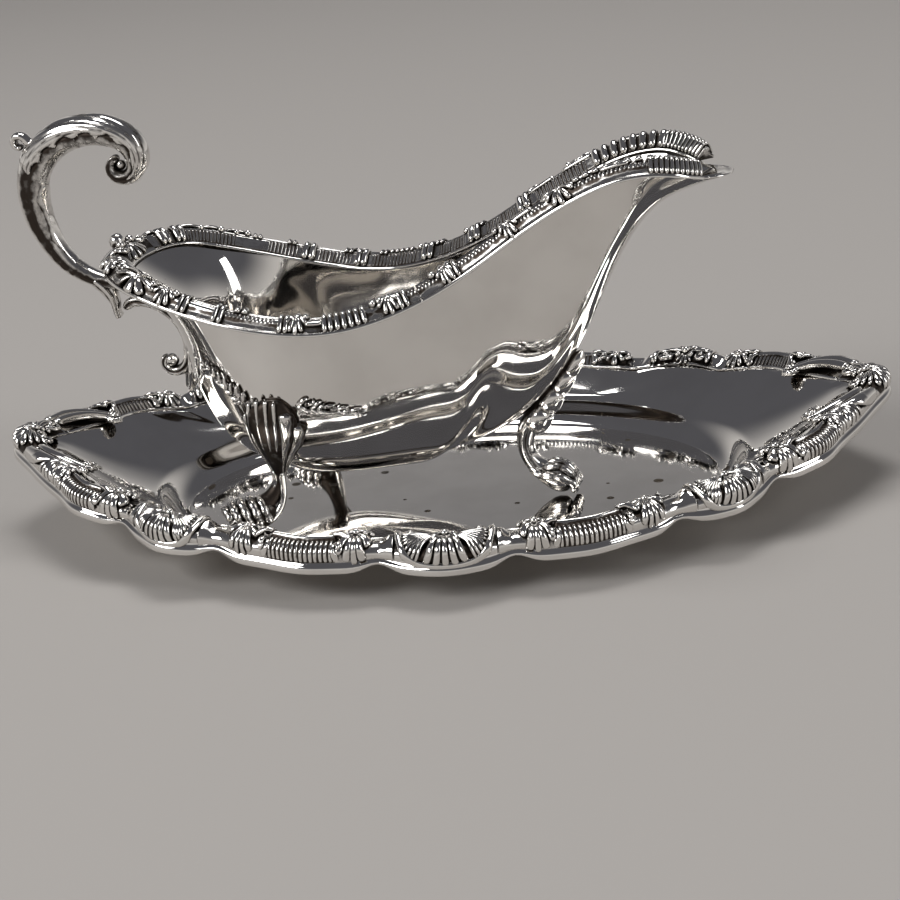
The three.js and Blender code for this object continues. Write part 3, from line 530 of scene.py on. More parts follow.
def plate_strip(casting, start, end, ribbed=(), rolled=(), dark=()):
    """Body of a border length: ribbed and rolled stretches, sunken where ornaments stand and painted dark
    there, as shade and oxide.
    """
    s = np.linspace(start, end, int((end - start) / STRIP_STEP) + 1)
    weight_ribbed, weight_rolled, cut, ground = 0 * s, 0 * s, 0 * s, 0 * s
    for a, b in ribbed:
        weight_ribbed += smooth(a - 0.8, a + 0.4, s) * (1 - smooth(b - 0.4, b + 0.8, s))
        ribs = round((b - a) / RIB_PITCH)
        inside = (s > a) & (s < b)
        cut += inside * (1 - np.abs(np.sin(np.pi * ribs * (s - a) / (b - a))) ** 0.7)
    for a, b in rolled:
        weight_rolled += smooth(a - 1.6, a + 1.6, s) * (1 - smooth(b - 1.6, b + 1.6, s))
    for a, b in dark:
        ground += smooth(a - 0.6, a + 0.6, s) * (1 - smooth(b - 0.6, b + 0.6, s))
    weight_sunken = np.clip(1 - weight_ribbed - weight_rolled, 0, 1)
    height = blend((RIBBED[None], ROLLED[None], SUNKEN[None]),
                   (weight_ribbed[:, None], weight_rolled[:, None], weight_sunken[:, None]))
    u = PLATE_REACH
    inner = smooth(-8.9, -8.5, u) * (1 - smooth(-6.8, -6.4, u))
    outer = smooth(-4.6, -4.2, u) * (1 - smooth(0.2, 0.6, u))
    height = height - cut[:, None] * (0.6 * inner + 0.8 * outer)
    # Rib grooves, seams, the inner edge and the ground under ornaments are painted dark, as oxide and shade
    seams = bell(u + 8.9, 0.25) + bell(u + 6.5, 0.2) + 1.2 * bell(u + 4.5, 0.3) + bell(u - 0.6, 0.25)
    shade = np.clip(cut[:, None] * 1.7, 0, 1) * (inner + outer) + weight_ribbed[:, None] * seams
    sunken = smooth(-9.1, -8.8, u) * (1 - smooth(-2.4, -1.2, u))
    shade = shade + ground[:, None] * sunken + weight_rolled[:, None] * 0.7 * bell(u + 8.9, 0.3)
    shade = shade + (weight_sunken * (1 - ground))[:, None] * 0.8 * bell(u + 8.9, 0.3)
    strip(casting, s, u, height, np.clip(shade, 0, 1), -0.3)


# Border shells: angles from the axis, in degrees, of the middle petals and of the long flutes beside them
MIDDLE_PETALS = (-28, -14, 0, 14, 28)
SIDE_FLUTES = (35, 42, 49, 56, 63, 70, 77, 84)
END_FLUTES = tuple(range(-84, 85, 12))
SHELL_HINGE = -6.9
SHELL_DROP = 1.7                   # the shells come this far down over the edge
SHELL_REACH = np.concatenate([PLATE_REACH, [1.3, 1.8, 2.3]])
SHELL_SQUARE = 0.7                 # 1 is an ellipse, less is squarer
HINGE_CURL = ((0.8, -7.0, 3.7), (1.9, -6.0, 4.1), (2.9, -4.6, 3.6), (3.3, -3.2, 2.6))
# Stations of the two rolls of the end length: distance, reach, height, half width, half height
END_ROLL = ((0.2, -1.9, 1.9, 1.3, 1.0), (4, -2.0, 2.2, 1.6, 1.3), (9, -3.0, 2.5, 1.6, 1.3),
            (14, -4.8, 2.4, 1.4, 1.2), (18, -7.0, 2.0, 1.1, 1.0), (20.5, -8.6, 1.7, 0.9, 0.9))
# Leaves beside a ribbed stretch: distance from its end, reach, height
OUTER_LEAF = ((-0.4, -5.4, 3.7), (1.2, -5.2, 3.9), (2.8, -4.6, 3.3), (4.2, -3.8, 2.4))
INNER_LEAF = ((-0.2, -6.2, 3.4), (0.6, -7.2, 3.0), (0.9, -8.2, 1.9), (0.5, -9.1, 0.9))


def shell_edge(half, turn):
    """Point on the squarish outline of a shell, by the angle from its axis."""
    s = math.copysign(half * abs(math.sin(turn)) ** SHELL_SQUARE, turn)
    rise = math.copysign(abs(math.cos(turn)) ** SHELL_SQUARE, math.cos(turn))
    return s, SHELL_HINGE + (SHELL_DROP - SHELL_HINGE) * rise


def shell_lip(casting, half):
    """Plain rounded lip round the whole fan."""
    path = []
    for turn in np.radians(np.linspace(-98, 98, 27)):
        s, n = shell_edge(half - 0.9, turn)
        path.append([s, n - 0.5, float(plate_slope(n)) + 0.5, 0.95, 0.85])
    bar(casting, path, steps=80, fade=0.04)


def shell_flute(casting, half, turn):
    """Thin ridge that sweeps sideways from the hinge and bends down to the lip."""
    s, n = shell_edge(half - 1.7, turn)
    path = []
    for t, lift in ((0.14, 0.5), (0.4, 1.0), (0.65, 1.0), (0.85, 0.8), (1.0, 0.4)):
        down = SHELL_HINGE + (n - 0.7 - SHELL_HINGE) * t ** 1.6
        path.append([s * t, down, float(plate_slope(down)) + 0.85 * lift])
    petal(casting, path, 0.42, 0.6, root=0.6, shade=0.2)


def shell_motif(casting, kind):
    """Border shell centred on s = 0: petals, flutes inside a plain lip, curls and beads at the hinge."""
    half = SHELL_HALF[kind]
    s = np.linspace(-half, half, 80)
    u = SHELL_REACH
    fall = 1 - 0.45 * (s / half) ** 4
    power = 2 / SHELL_SQUARE
    across = np.abs(s / (half - 0.8)) ** power
    down = np.abs((u - SHELL_HINGE) / (SHELL_DROP - SHELL_HINGE)) ** power
    inside = (across[:, None] + down[None] < 1) | ((u[None] < SHELL_HINGE) & (across[:, None] < 0.6))
    sunk = smooth(-9.4, -8.9, u) * (1 - smooth(1.3, 2.1, u))
    height = (plate_slope(u)[None] + 0.25 * (u > 0.5) * (u < 2.2) - 0.35 * sunk[None]) * fall[:, None]
    shorter = np.where(u > 0, u * (1 - 0.5 * (s[:, None] / half) ** 4), u)
    # Ground inside the shell, under its petals, painted dark as shade and oxide
    strip(casting, s, shorter, height, inside * sunk[None], -0.3)
    if kind == 0:
        rib_fan(casting, (0, -8.2), (half - 0.8, 9.4), END_FLUTES, plate_slope, 0.9, fill=0.64, bow=0.6)
    else:
        rib_fan(casting, (0, -6.9), (half * 0.85, 7.9), MIDDLE_PETALS, plate_slope, 1.3, fill=0.74,
                start=0.1)
        for turn in np.radians(SIDE_FLUTES):
            for side in (-1, 1):
                shell_flute(casting, half, side * turn)
        shell_lip(casting, half)
    ball(casting, (0, -7.2, 3.7), 1.25)
    for side in (-1, 1):
        path = [[side * s, n, h] for s, n, h in HINGE_CURL]
        petal(casting, path, 0.75, 0.8, shade=0.0)
        ball(casting, (side * 2.3, -8.2, 2.9), 0.9)
        volute(casting, (side * (half - 4.2), -7.9), 2.2, 1.3, side, 90 + side * 60, 0.68, 0.8, base=2.3)
        ball(casting, (side * 4.6, -8.7, 2.0), 0.8)
    rib_fan(casting, (0, -7.4), (3.2, -2.6), (-50, -17, 17, 50), plate_slope, 0.7, fill=0.8)


def small_shell(casting, at):
    """Little ribbed shell between two curls."""
    rib_fan(casting, (at, -6.4), (4.6, 7.6), (-66, -40, -14, 14, 40, 66), plate_slope, 0.9, fill=0.72)
    rib_fan(casting, (at, -6.4), (3.6, -2.8), (-55, 0, 55), plate_slope, 0.8, fill=0.7)
    ball(casting, (at, -6.4, 3.5), 1.0)
    for side in (-1, 1):
        volute(casting, (at + side * 4.6, -6.6), 1.45, 1.1, side, 90 - side * 40, 0.52, 0.65, base=2.4)


def flower(casting, at):
    """Fan of petals on the outer slope, a smaller one on the inner slope and beads between them."""
    rib_fan(casting, (at, -5.6), (4.4, 6.8), (-64, -32, 0, 32, 64), plate_slope, 1.2, fill=0.8, start=0.12)
    rib_fan(casting, (at, -5.8), (3.8, -3.8), (-62, -31, 0, 31, 62), plate_slope, 1.0, fill=0.8, start=0.12)
    ball(casting, (at, -5.8, 3.9), 1.1)
    for side in (-1, 1):
        ball(casting, (at + side * 2.3, -5.8, 3.3), 0.8)
        ball(casting, (at + side * 4.0, -6.0, 2.8), 0.65)


def strip_ends(casting, start, end):
    """Curls and leaves that frame a ribbed stretch."""
    for at, side in ((start, -1), (end, 1)):
        volute(casting, (at + side * 1.5, -2.2), 1.7, 1.2, side, 90, 0.62, 0.75, base=1.6)
        for leaf, width, height, root in ((OUTER_LEAF, 1.0, 0.85, 0.7), (INNER_LEAF, 1.05, 0.8, 0.8)):
            path = [[at + side * s, n, h] for s, n, h in leaf]
            petal(casting, path, width, height, shade=0.0, root=root)
        ball(casting, (at + side * 2.4, -7.6, 2.0), 0.85)


def end_length(casting):
    """Length from the end shell to the corner shell."""
    a, b = SHELL_HALF[0] + SEAT_GAP, CORNER_SHELL_AT - SHELL_HALF[1] - SEAT_GAP
    start, end = GADROONS[0]
    at = FLOWERS[0]
    plate_strip(casting, a, b, ribbed=((start, end),), rolled=((b - 2.5, b + 3),),
                dark=((a + 6, start - 2), (at - 4.0, at + 3.6)))
    for shift, lift in ((0, 0), (-3.4, 0.2)):
        lifts = (lift, lift, lift, lift, 0, 0)
        path = [[a + s, n + shift, h + up, w, t] for (s, n, h, w, t), up in zip(END_ROLL, lifts)]
        bar(casting, path, steps=44, fade=0.04)
    volute(casting, (VOLUTE_AT - 1.4, -BORDER_WIDTH - 2.4), 3.0, 1.35, 1, 30, 1.2, 1.15, ribs=13)
    rib_fan(casting, (VOLUTE_AT - 6.0, -5.4), (6.4, 5.8), (-60, -36, -12, 12, 36, 60), plate_slope, 0.8)
    rib_fan(casting, (VOLUTE_AT + 0.6, -6.2), (4.2, 6.6), (-60, -30, 0, 30, 60), plate_slope, 0.9, fill=0.76)
    strip_ends(casting, start, end)
    flower(casting, at)


def side_length(casting):
    """Length from the corner shell to the middle shell."""
    a, b = CORNER_SHELL_AT + SHELL_HALF[1] + SEAT_GAP, QUARTER - SHELL_HALF[2] - SEAT_GAP
    start, end = GADROONS[1]
    at = FLOWERS[1]
    plate_strip(casting, a, b, ribbed=((start, end),), rolled=((a - 3, a + 2.0), (b - 2.5, b + 3)),
                dark=((SMALL_SHELL - 4.4, SMALL_SHELL + 4.6), (at - 3.6, at + 3.6)))
    small_shell(casting, SMALL_SHELL)
    strip_ends(casting, start, end)
    flower(casting, at)


def plate_borders(material):
    """Eight shells and eight lengths, each in its place round the plate."""
    def flip(at, hand):
        return lambda p: on_plate(np.stack([at + hand * p[..., 0], p[..., 1], p[..., 2]], -1))

    shells = (
        ("shell_end_right", 0, 0), ("shell_corner_back_right", CORNER_SHELL_AT, 1),
        ("shell_side_back", QUARTER, 2), ("shell_corner_back_left", 2 * QUARTER - CORNER_SHELL_AT, 1),
        ("shell_end_left", 2 * QUARTER, 0), ("shell_corner_front_left", 2 * QUARTER + CORNER_SHELL_AT, 1),
        ("shell_side_front", 3 * QUARTER, 2), ("shell_corner_front_right", 4 * QUARTER - CORNER_SHELL_AT, 1),
    )
    for name, at, kind in shells:
        casting = Casting(flip(at, 1))
        shell_motif(casting, kind)
        casting.build(name + "_cast", material, "underplate", "cast_ornament", [name])
    lengths = (
        ("back_right", 0, 1), ("back_left", 2 * QUARTER, -1),
        ("front_left", 2 * QUARTER, 1), ("front_right", 4 * QUARTER, -1),
    )
    for name, at, hand in lengths:
        for kind, design in (("border_end_", end_length), ("border_side_", side_length)):
            casting = Casting(flip(at, hand))
            design(casting)
            casting.build(kind + name + "_cast", material, "underplate", "cast_ornament", [kind + name])


# Boat rim, the centre line of its border
RIM_HALF = [
    [-RIM_BACK, 0, RIM_BACK_HEIGHT],
    [-RIM_BACK + 2.4, BOWL_HALF_WIDTH * 0.39, RIM_BACK_HEIGHT],
    [-RIM_BACK + 9, BOWL_HALF_WIDTH * 0.68, RIM_BACK_HEIGHT - 0.8],
    [-RIM_BACK + 20, BOWL_HALF_WIDTH * 0.86, RIM_BACK_HEIGHT - 3.8],
    [-RIM_BACK + 34, BOWL_HALF_WIDTH * 0.965, RIM_BACK_HEIGHT - 7.6],
    [-RIM_BACK + 51, BOWL_HALF_WIDTH, RIM_WAIST_HEIGHT + 1.0],
    [-RIM_BACK + 68, BOWL_HALF_WIDTH * 0.94, RIM_WAIST_HEIGHT],
    [-RIM_BACK + 85, BOWL_HALF_WIDTH * 0.78, RIM_WAIST_HEIGHT + 3.6],
    [RIM_SPOUT - 68, SPOUT_HALF_WIDTH + 3.2, RIM_SPOUT_HEIGHT - 25],
    [RIM_SPOUT - 52, SPOUT_HALF_WIDTH + 0.6, RIM_SPOUT_HEIGHT - 14.8],
    [RIM_SPOUT - 37, SPOUT_HALF_WIDTH, RIM_SPOUT_HEIGHT - 6],
    [RIM_SPOUT - 24, SPOUT_HALF_WIDTH - 0.4, RIM_SPOUT_HEIGHT - 0.9],
    [RIM_SPOUT - 14, SPOUT_HALF_WIDTH - 1.6, RIM_SPOUT_HEIGHT],
    [RIM_SPOUT - 6.3, SPOUT_HALF_WIDTH - 4.8, RIM_SPOUT_HEIGHT - 1.8],
    [RIM_SPOUT - 1.4, SPOUT_HALF_WIDTH - 10.6, RIM_SPOUT_HEIGHT - 4.2],
    [RIM_SPOUT, 0, RIM_SPOUT_HEIGHT - 5.2],
]
rim_curve = spline(RIM_HALF + [[x, -y, z] for x, y, z in RIM_HALF[-2:0:-1]], closed=True)
rim_shares = np.linspace(0, 1, 6001)
rim_points = rim_curve(rim_shares)
rim_lengths = np.concatenate([[0], np.cumsum(np.linalg.norm(np.diff(rim_points, axis=0), axis=1))])
RIM_LENGTH = rim_lengths[-1]


def rim_at(distance):
    return rim_curve(np.interp(np.mod(distance, RIM_LENGTH), rim_lengths, rim_shares))


def rim_frame(distance):
    point = rim_at(distance)
    along = unit(rim_at(np.asarray(distance) + 0.4) - rim_at(np.asarray(distance) - 0.4))
    outward = unit(np.stack([-along[..., 1], along[..., 0], 0 * along[..., 0]], -1))
    return point, outward, np.cross(along, outward)


def on_rim(p):
    """Border place on the boat from distance along the rim, distance outward and height above the seat."""
    point, outward, up = rim_frame(p[..., 0])
    return point + outward * p[..., 1:2] + up * (p[..., 2:3] - BORDER_SEAT_DROP)


def boat_place(points):
    """From the boat's own frame to the frame of the whole object."""
    c, s = math.cos(BOAT_TURN), math.sin(BOAT_TURN)
    x = BOAT_X + c * points[:, 0] - s * points[:, 1]
    y = BOAT_Y + s * points[:, 0] + c * points[:, 1]
    return np.stack([x, y, points[:, 2] + BOAT_Z], -1)


# Wall profiles of the bowl as shares of the plan reach and of the height
# The side and the flank are fuller here than in the CAD model
BACK_PROFILE = [[1, 1], [0.86, 0.87], [0.785, 0.73], [0.755, 0.55], [0.7, 0.35], [0.6, 0.17], [0.34, 0.045],
                [0, 0]]
SIDE_PROFILE = [[1, 1], [1.005, 0.88], [1.015, 0.74], [1.01, 0.58], [0.98, 0.42], [0.9, 0.26],
                [0.76, 0.135], [0.54, 0.05], [0.27, 0.012], [0, 0]]
FLANK_PROFILE = [[1, 1], [1.01, 0.92], [1.015, 0.8], [1.01, 0.66], [0.99, 0.5], [0.935, 0.34], [0.83, 0.19],
                 [0.63, 0.07], [0.32, 0.015], [0, 0]]
SPOUT_PROFILE = [[1, 1], [0.89, 0.945], [0.79, 0.82], [0.69, 0.585], [0.58, 0.335], [0.42, 0.14],
                 [0.21, 0.04], [0, 0]]
BOWL_COLUMNS = 360
BOWL_ROWS = 84
BOWL_EDGE_IN = 1.4                 # how far the bowl's edge is inside the border's line
WAVES_KEPT = 34                    # waves round the bowl that its mirror surface keeps


def low_pass(rows, keep):
    """Keeps the slow waves of closed rows, so that a mirror finish shows no ripples."""
    waves = np.fft.rfft(rows, axis=1)
    order = np.arange(waves.shape[1])
    waves *= np.exp(-(order / keep) ** 4)[None, :, None]
    return np.fft.irfft(waves, rows.shape[1], axis=1)


def bowl_surface():
    """Grid of the bowl's outside, rows from the rim down, columns round from the back, and its normals."""
    distance = np.arange(BOWL_COLUMNS) / BOWL_COLUMNS * RIM_LENGTH
    point, outward, up = rim_frame(distance)
    edge = point - BOWL_EDGE_IN * outward - up * (BORDER_SEAT_DROP + SEAT_GAP)
    bearing = np.degrees(np.abs(np.arctan2(edge[:, 1], edge[:, 0] - BOWL_CENTRE_X)))
    to_spout = 1 - smooth(2, 30, bearing)
    to_flank = (1 - smooth(24, 74, bearing)) * (1 - to_spout)
    to_back = smooth(112, 172, bearing)
    to_side = 1 - to_spout - to_flank - to_back
    depth = np.linspace(0, 1, BOWL_ROWS)
    at = 0
    for profile, weight in ((SIDE_PROFILE, to_side), (FLANK_PROFILE, to_flank),
                            (SPOUT_PROFILE, to_spout), (BACK_PROFILE, to_back)):
        curve = spline([[a, b, 0] for a, b in profile])(depth)
        at = at + curve[:, None, :2] * weight[None, :, None]
    x = BOWL_CENTRE_X + (edge[:, 0] - BOWL_CENTRE_X) * at[..., 0]
    y = edge[:, 1] * at[..., 0]
    z = BOWL_FLOOR + (edge[:, 2] - BOWL_FLOOR) * at[..., 1]
    rows = low_pass(np.stack([x, y, z], -1), WAVES_KEPT)
    # Pouring lip, drawn out past the border
    from_tip = np.abs(distance - RIM_LENGTH / 2)
    lip = LIP_REACH * (1 - smooth(LIP_HALF_WIDTH * 0.25, LIP_HALF_WIDTH + 1.4, from_tip))
    rows = rows + (outward + LIP_RISE * up) * (lip * bell(depth, 0.05)[:, None])[..., None]
    return rows, bowl_normals(rows)


def bowl_normals(rows):
    around = np.roll(rows, -1, 1) - np.roll(rows, 1, 1)
    down = np.gradient(rows, axis=0)
    normals = unit(np.cross(around, down))
    normals[-1] = (0, 0, -1)
    outside = rows - np.array([BOWL_CENTRE_X, 0, RIM_WAIST_HEIGHT + 30])
    flip = np.sign((normals * outside).sum(-1, keepdims=True))
    return normals * np.where(flip == 0, 1, flip)


bowl_rows, bowl_out = bowl_surface()


def bowl():
    """Double-walled bowl with a rounded edge."""
    inner = bowl_rows - bowl_out * WALL
    _, outward, up = rim_frame(np.arange(BOWL_COLUMNS) / BOWL_COLUMNS * RIM_LENGTH)
    inner[0] = bowl_rows[0] - outward * WALL
    edge = (bowl_rows[0] + inner[0]) / 2 + up * 0.3
    casting = Casting()
    casting.skin(np.concatenate([bowl_rows[::-1], edge[None], inner]))
    return casting


# Section of the boat's border: reach across it from the bowl's side out, and the height of its top
RIM_REACH = np.array([-4.3, -4.15, -3.9, -3.65, -3.45, -3.2, -2.8, -2.3, -1.8, -1.3, -1.0, -0.8, -0.6, -0.4,
                      -0.2, -0.05, 0.15, 0.35, 0.55, 0.7, 0.85, 1.1, 1.4, 1.65, 1.85, 2.1, 2.4, 2.8, 3.2,
                      3.6, 3.8, 3.95, 4.1, 4.3])
RIM_SECTION = np.interp(RIM_REACH,
                        [-4.3, -3.95, -3.65, -3.45, -1.0, -0.8, -0.4, -0.05, 0.3, 0.6, 0.85, 1.65, 1.85,
                         2.4, 3.2, 3.7, 4.05, 4.3],
                        [-0.3, 0.35, 0.1, 0.5, 3.2, 2.85, 3.45, 3.05, 3.5, 3.0, 3.2, 2.6, 2.0,
                         1.1, 0.4, 0.2, 0.55, -0.4])
RIM_RIB_PITCH = 1.15
RIM_SLANT = 0.5                    # lean of the short ribs beside the crest

# Distances from the back, along either side: stretches with ribs, and the ornaments between them
INNER_RIBS = ((25, 41), (51.5, 60.5), (67.5, 77.5), (84.5, 101), (109, 119), (127, 137.5), (145, 162))
OUTER_RIBS = ((18, 24), (60.5, 74), (110, 121), (127, 141), (147, 156), (165, 187))
INNER_LOBES = ((16.5, 2), (22.5, 2), (64, 2), (81, 2), (105, 2), (123, 2), (141, 2))
BIG_LOBES = np.arange(165.5, 187, 2.8)
POSTS = (47.6, 58.2, 76.2, 88, 109, 125)
UPRIGHTS = (90.6, 92.4, 94.2, 96.0, 97.8)
OUTER_LEAVES = ((15.5, 4.2), (30.5, 8.0), (41.2, 3.6), (79.6, 3.0), (105.3, 3.4), (122.5, 2.6), (144, 3.0),
                (160.5, 4.4))
KNOBS = (36.5, 44.5, 101, 103, 119, 157)
BARS = ((81.8, 86.8, 1.9), (142.5, 152, 0.1), (154.5, 165, 0.1), (172, 180, 0.1))
TIP_LOBES = 11
TIP_REACH = 14.0                   # only a length that ends this near the tip has them
TIP_TAPER = 0.72


def rim_bulge(reach):
    """Swelling ground of the ornaments on both faces of the boat's border."""
    return np.interp(np.abs(reach), [0, 1.0, 2.2, 3.2, 4.3], [3.4, 3.2, 2.3, 1.2, 0.1])


def rib_cuts(s, stretches):
    """How deep the surface is cut between ribs, 0 to 1, in the given stretches."""
    cut = 0 * s
    for a, b in stretches:
        ribs = round((b - a) / RIM_RIB_PITCH)
        inside = (s > a) & (s < b)
        cut += inside * (1 - np.abs(np.sin(np.pi * ribs * (s - a) / (b - a))) ** 0.55)
    return cut


def rim_strip(casting, start, end):
    """Body of a border length: ribs on the inner face, reeds on the crest, a cove on the outer face."""
    s = np.linspace(start, end, int((end - start) / STRIP_STEP) + 1)
    u = RIM_REACH
    inner = smooth(-3.7, -3.4, u) * (1 - smooth(-1.1, -0.9, u))
    beside = smooth(0.6, 0.85, u) * (1 - smooth(1.65, 1.85, u))
    cut = rib_cuts(s[:, None] + 0 * u, INNER_RIBS) * inner
    cut = cut + rib_cuts(s[:, None] + RIM_SLANT * u, OUTER_RIBS) * beside
    height = RIM_SECTION - cut * 0.7
    # Rib grooves, reed lines, the edges, the inner face and the outer cove are painted dark, as oxide and
    # shade
    reeds = bell(u + 0.8, 0.2) + bell(u + 0.05, 0.15) + bell(u - 0.6, 0.17) + bell(u - 1.95, 0.25)
    edges = bell(u + 3.65, 0.25) + bell(u - 3.7, 0.3)
    hollow = 0.35 * smooth(1.9, 2.4, u) * (1 - smooth(3.4, 3.8, u)) + 0.3 * inner
    strip(casting, s, u, height, np.clip(cut * 1.1 + reeds + edges + hollow, 0, 1), -0.5)


def across_crest(casting, at, hand, start, width, height):
    """Upright rib that starts at a reach beside the crest and comes down one face."""
    path = [[at, hand * u, h] for u, h in ((start, 3.5), (0.5, 3.9), (1.8, 3.1), (3.0, 1.8), (4.0, 0.5))]
    petal(casting, path, width, height, root=0.75)


def rim_leaf(casting, at, half, hand):
    """Spray of lobes that spreads from the crest over one face, with a bead at its root."""
    rib_fan(casting, (at, hand * 0.1), (half, hand * 4.1), (-64, -32, 0, 32, 64), rim_bulge, 0.8, fill=0.8)
    ball(casting, (at, hand * 0.2, 3.7), 0.9)


def rim_bar(casting, start, end, reach):
    """Plain rounded bar along the border."""
    third = (end - start) / 3
    stations = [[start + i * third, reach, float(rim_bulge(reach)), 1.15, 0.75] for i in range(4)]
    bar(casting, stations, fade=0.15)


def narrowed(place):
    """The same place with the border drawn in toward the lip."""
    def narrow(p):
        q = p.copy()
        from_tip = RIM_LENGTH / 2 - p[..., 0]
        share = TIP_TAPER + (1 - TIP_TAPER) * smooth(LIP_HALF_WIDTH + 2, LIP_HALF_WIDTH + 12, from_tip)
        q[..., 1] = p[..., 1] * share
        return place(q)

    return narrow


def rim_length(casting, start, end):
    def within(at, room):
        return start + room < at < end - room

    rim_strip(casting, start, end)
    for at, reach in OUTER_LEAVES:
        if within(at, reach):
            rim_leaf(casting, at, reach, 1)
    for at, count in INNER_LOBES:
        for i in range(count):
            place_at = at + 2.1 * (i - (count - 1) / 2)
            if within(place_at, 1.5):
                across_crest(casting, place_at, -1, -0.9, 1.15, 1.1)
    for at in BIG_LOBES:
        if within(at, 1.5):
            across_crest(casting, at, -1, -0.8, 1.2, 0.9)
    for at in POSTS:
        for shift in (-0.8, 0.8):
            if within(at, 2):
                across_crest(casting, at + shift, 1, -1.2, 0.72, 0.7)
    for at in UPRIGHTS:
        if within(at, 2):
            across_crest(casting, at, 1, -0.4, 0.78, 0.75)
    for at in KNOBS:
        if within(at, 2):
            ball(casting, (at, 0.4, 3.8), 1.1)
    for a, b, reach in BARS:
        if within(a, 2) and within(b, 2):
            rim_bar(casting, a, b, reach)
    if end > RIM_LENGTH / 2 - TIP_REACH:
        for i in range(TIP_LOBES):
            at = end - 0.9 - 1.25 * i
            for hand in (-1, 1):
                across_crest(casting, at, hand, -0.2, 0.6, 0.6)


def back_shell(casting):
    """Fluted shell over the handle with a bead above it."""
    s = np.linspace(-BACK_SHELL_HALF, BACK_SHELL_HALF, 90)
    dome = 1 - (s / BACK_SHELL_HALF) ** 2
    reach = RIM_REACH[None] * np.where(RIM_REACH > 0, 1 + 0.6 * dome[:, None], 1)
    height = rim_bulge(RIM_REACH) - (2.4 * dome[:, None]) * np.clip(RIM_REACH / 4.3, 0, 1) ** 2
    # Shell body under its petals painted dark, as shade and oxide
    strip(casting, s, reach, height, smooth(-3.9, -3.2, RIM_REACH), height[:, [-1, 0]] - 0.7)
    for i in range(5):
        turn = math.radians(34) * (i - 2)
        path = []
        for t in (0.05, 0.3, 0.55, 0.8, 1.0):
            path.append([10.0 * math.sin(turn) * t, -0.6 + 8.0 * math.cos(turn * 0.8) * t,
                         4.6 - 6.6 * math.cos(turn * 0.8) * t ** 2])
        petal(casting, path, 1.7, 1.1, root=0.3)
    for i in range(5):
        turn = math.radians(30) * (i - 2)
        path = [[8.5 * math.sin(turn) * t, -0.4 - 3.8 * math.cos(turn) * t, 4.2 - 3.6 * t * t]
                for t in (0.05, 0.35, 0.7, 1.0)]
        petal(casting, path, 1.2, 0.9, root=0.3)
    ball(casting, (0, 2.6, 5.2), 2.4)
    for side in (-1, 1):
        ball(casting, (side * 3.4, 0.4, 4.8), 1.4)
        volute(casting, (side * 6.6, -0.6), 1.9, 1.1, side, 90, 0.9, 0.9, base=3.6)


def build_boat_casting(casting, node_name, material):
    casting.build(node_name + "_cast", material, "boat", "cast_ornament", [node_name], settle=boat_place)


def boat_borders(material):
    half = RIM_LENGTH / 2
    joint = RIM_JOINT * RIM_LENGTH

    def mirrored(p):
        q = on_rim(p)
        return q * np.array([1, -1, 1])

    for side, place in (("left", on_rim), ("right", mirrored)):
        for kind, start, end in (("rear", BACK_SHELL_HALF + SEAT_GAP, joint - SEAT_GAP / 2),
                                 ("front", joint + SEAT_GAP / 2, half - LIP_HALF_WIDTH - LIP_BARE)):
            casting = Casting(narrowed(place))
            rim_length(casting, start, end)
            build_boat_casting(casting, f"rim_border_{kind}_{side}", material)
    casting = Casting(on_rim)
    back_shell(casting)
    build_boat_casting(casting, "rim_shell_back", material)


# Handle, in the plane of symmetry: x, z, half depth, half thickness
STRAP = [
    [-77.5, 63.8, 2.6, 1.7], [-84, 64.6, 2.8, 1.9], [-93, 65.0, 2.9, 2.1], [-101.4, 67.3, 3.0, 2.5],
    [-107.4, 71.8, 3.2, 3.0], [-111.4, 77.8, 3.4, 3.6], [-114.0, 85.0, 3.7, 4.2], [-114.6, 92.0, 4.0, 4.6],
    [-113.0, 98.8, 4.2, 4.8], [-107.6, 105.2, 4.2, 4.7], [-100.3, 108.7, 4.2, 4.5],
    [-93.6, 109.5, 4.2, 4.4], [-87.6, 108.4, 4.1, 4.2], [-83.0, 105.4, 3.9, 3.9],
]
LOWER = [
    [-91.6, 56.6, 1.6, 1.0], [-89.6, 58.6, 2.2, 1.6], [-85.4, 59.1, 2.4, 1.7], [-80.6, 57.6, 2.5, 1.8],
    [-76.6, 54.6, 2.6, 1.8], [-74.0, 50.4, 2.6, 1.9], [-73.0, 45.8, 2.6, 1.9], [-73.6, 41.4, 2.6, 1.8],
    [-76.2, 38.4, 2.5, 1.6], [-79.6, 38.2, 2.3, 1.5], [-81.4, 40.4, 2.2, 1.3], [-80.4, 42.8, 2.0, 1.1],
]
THUMB_CURL = [
    [-110.5, 105.4, 2.0, 1.6], [-113.6, 106.6, 1.8, 1.4], [-115.4, 108.4, 1.9, 1.2],
    [-117.4, 108.4, 1.9, 1.1], [-118.2, 106.6, 1.9, 1.0], [-117.0, 105.2, 1.7, 0.9],
    [-115.7, 105.9, 1.5, 0.8],
]
SPUR = [
    [-99.5, 66.2, 2.5, 2.2], [-95.6, 62.4, 2.6, 2.3], [-94.2, 58.6, 2.3, 1.4], [-93.9, 56.0, 2.2, 1.0],
    [-93.2, 54.2, 2.6, 0.8],
]
LEAF_MIDRIB = [
    [-74.3, 46.0, 0.9, 0.9], [-74.4, 41.0, 1.1, 1.0], [-74.8, 36.6, 1.1, 0.9], [-75.6, 32.6, 0.5, 0.5],
]
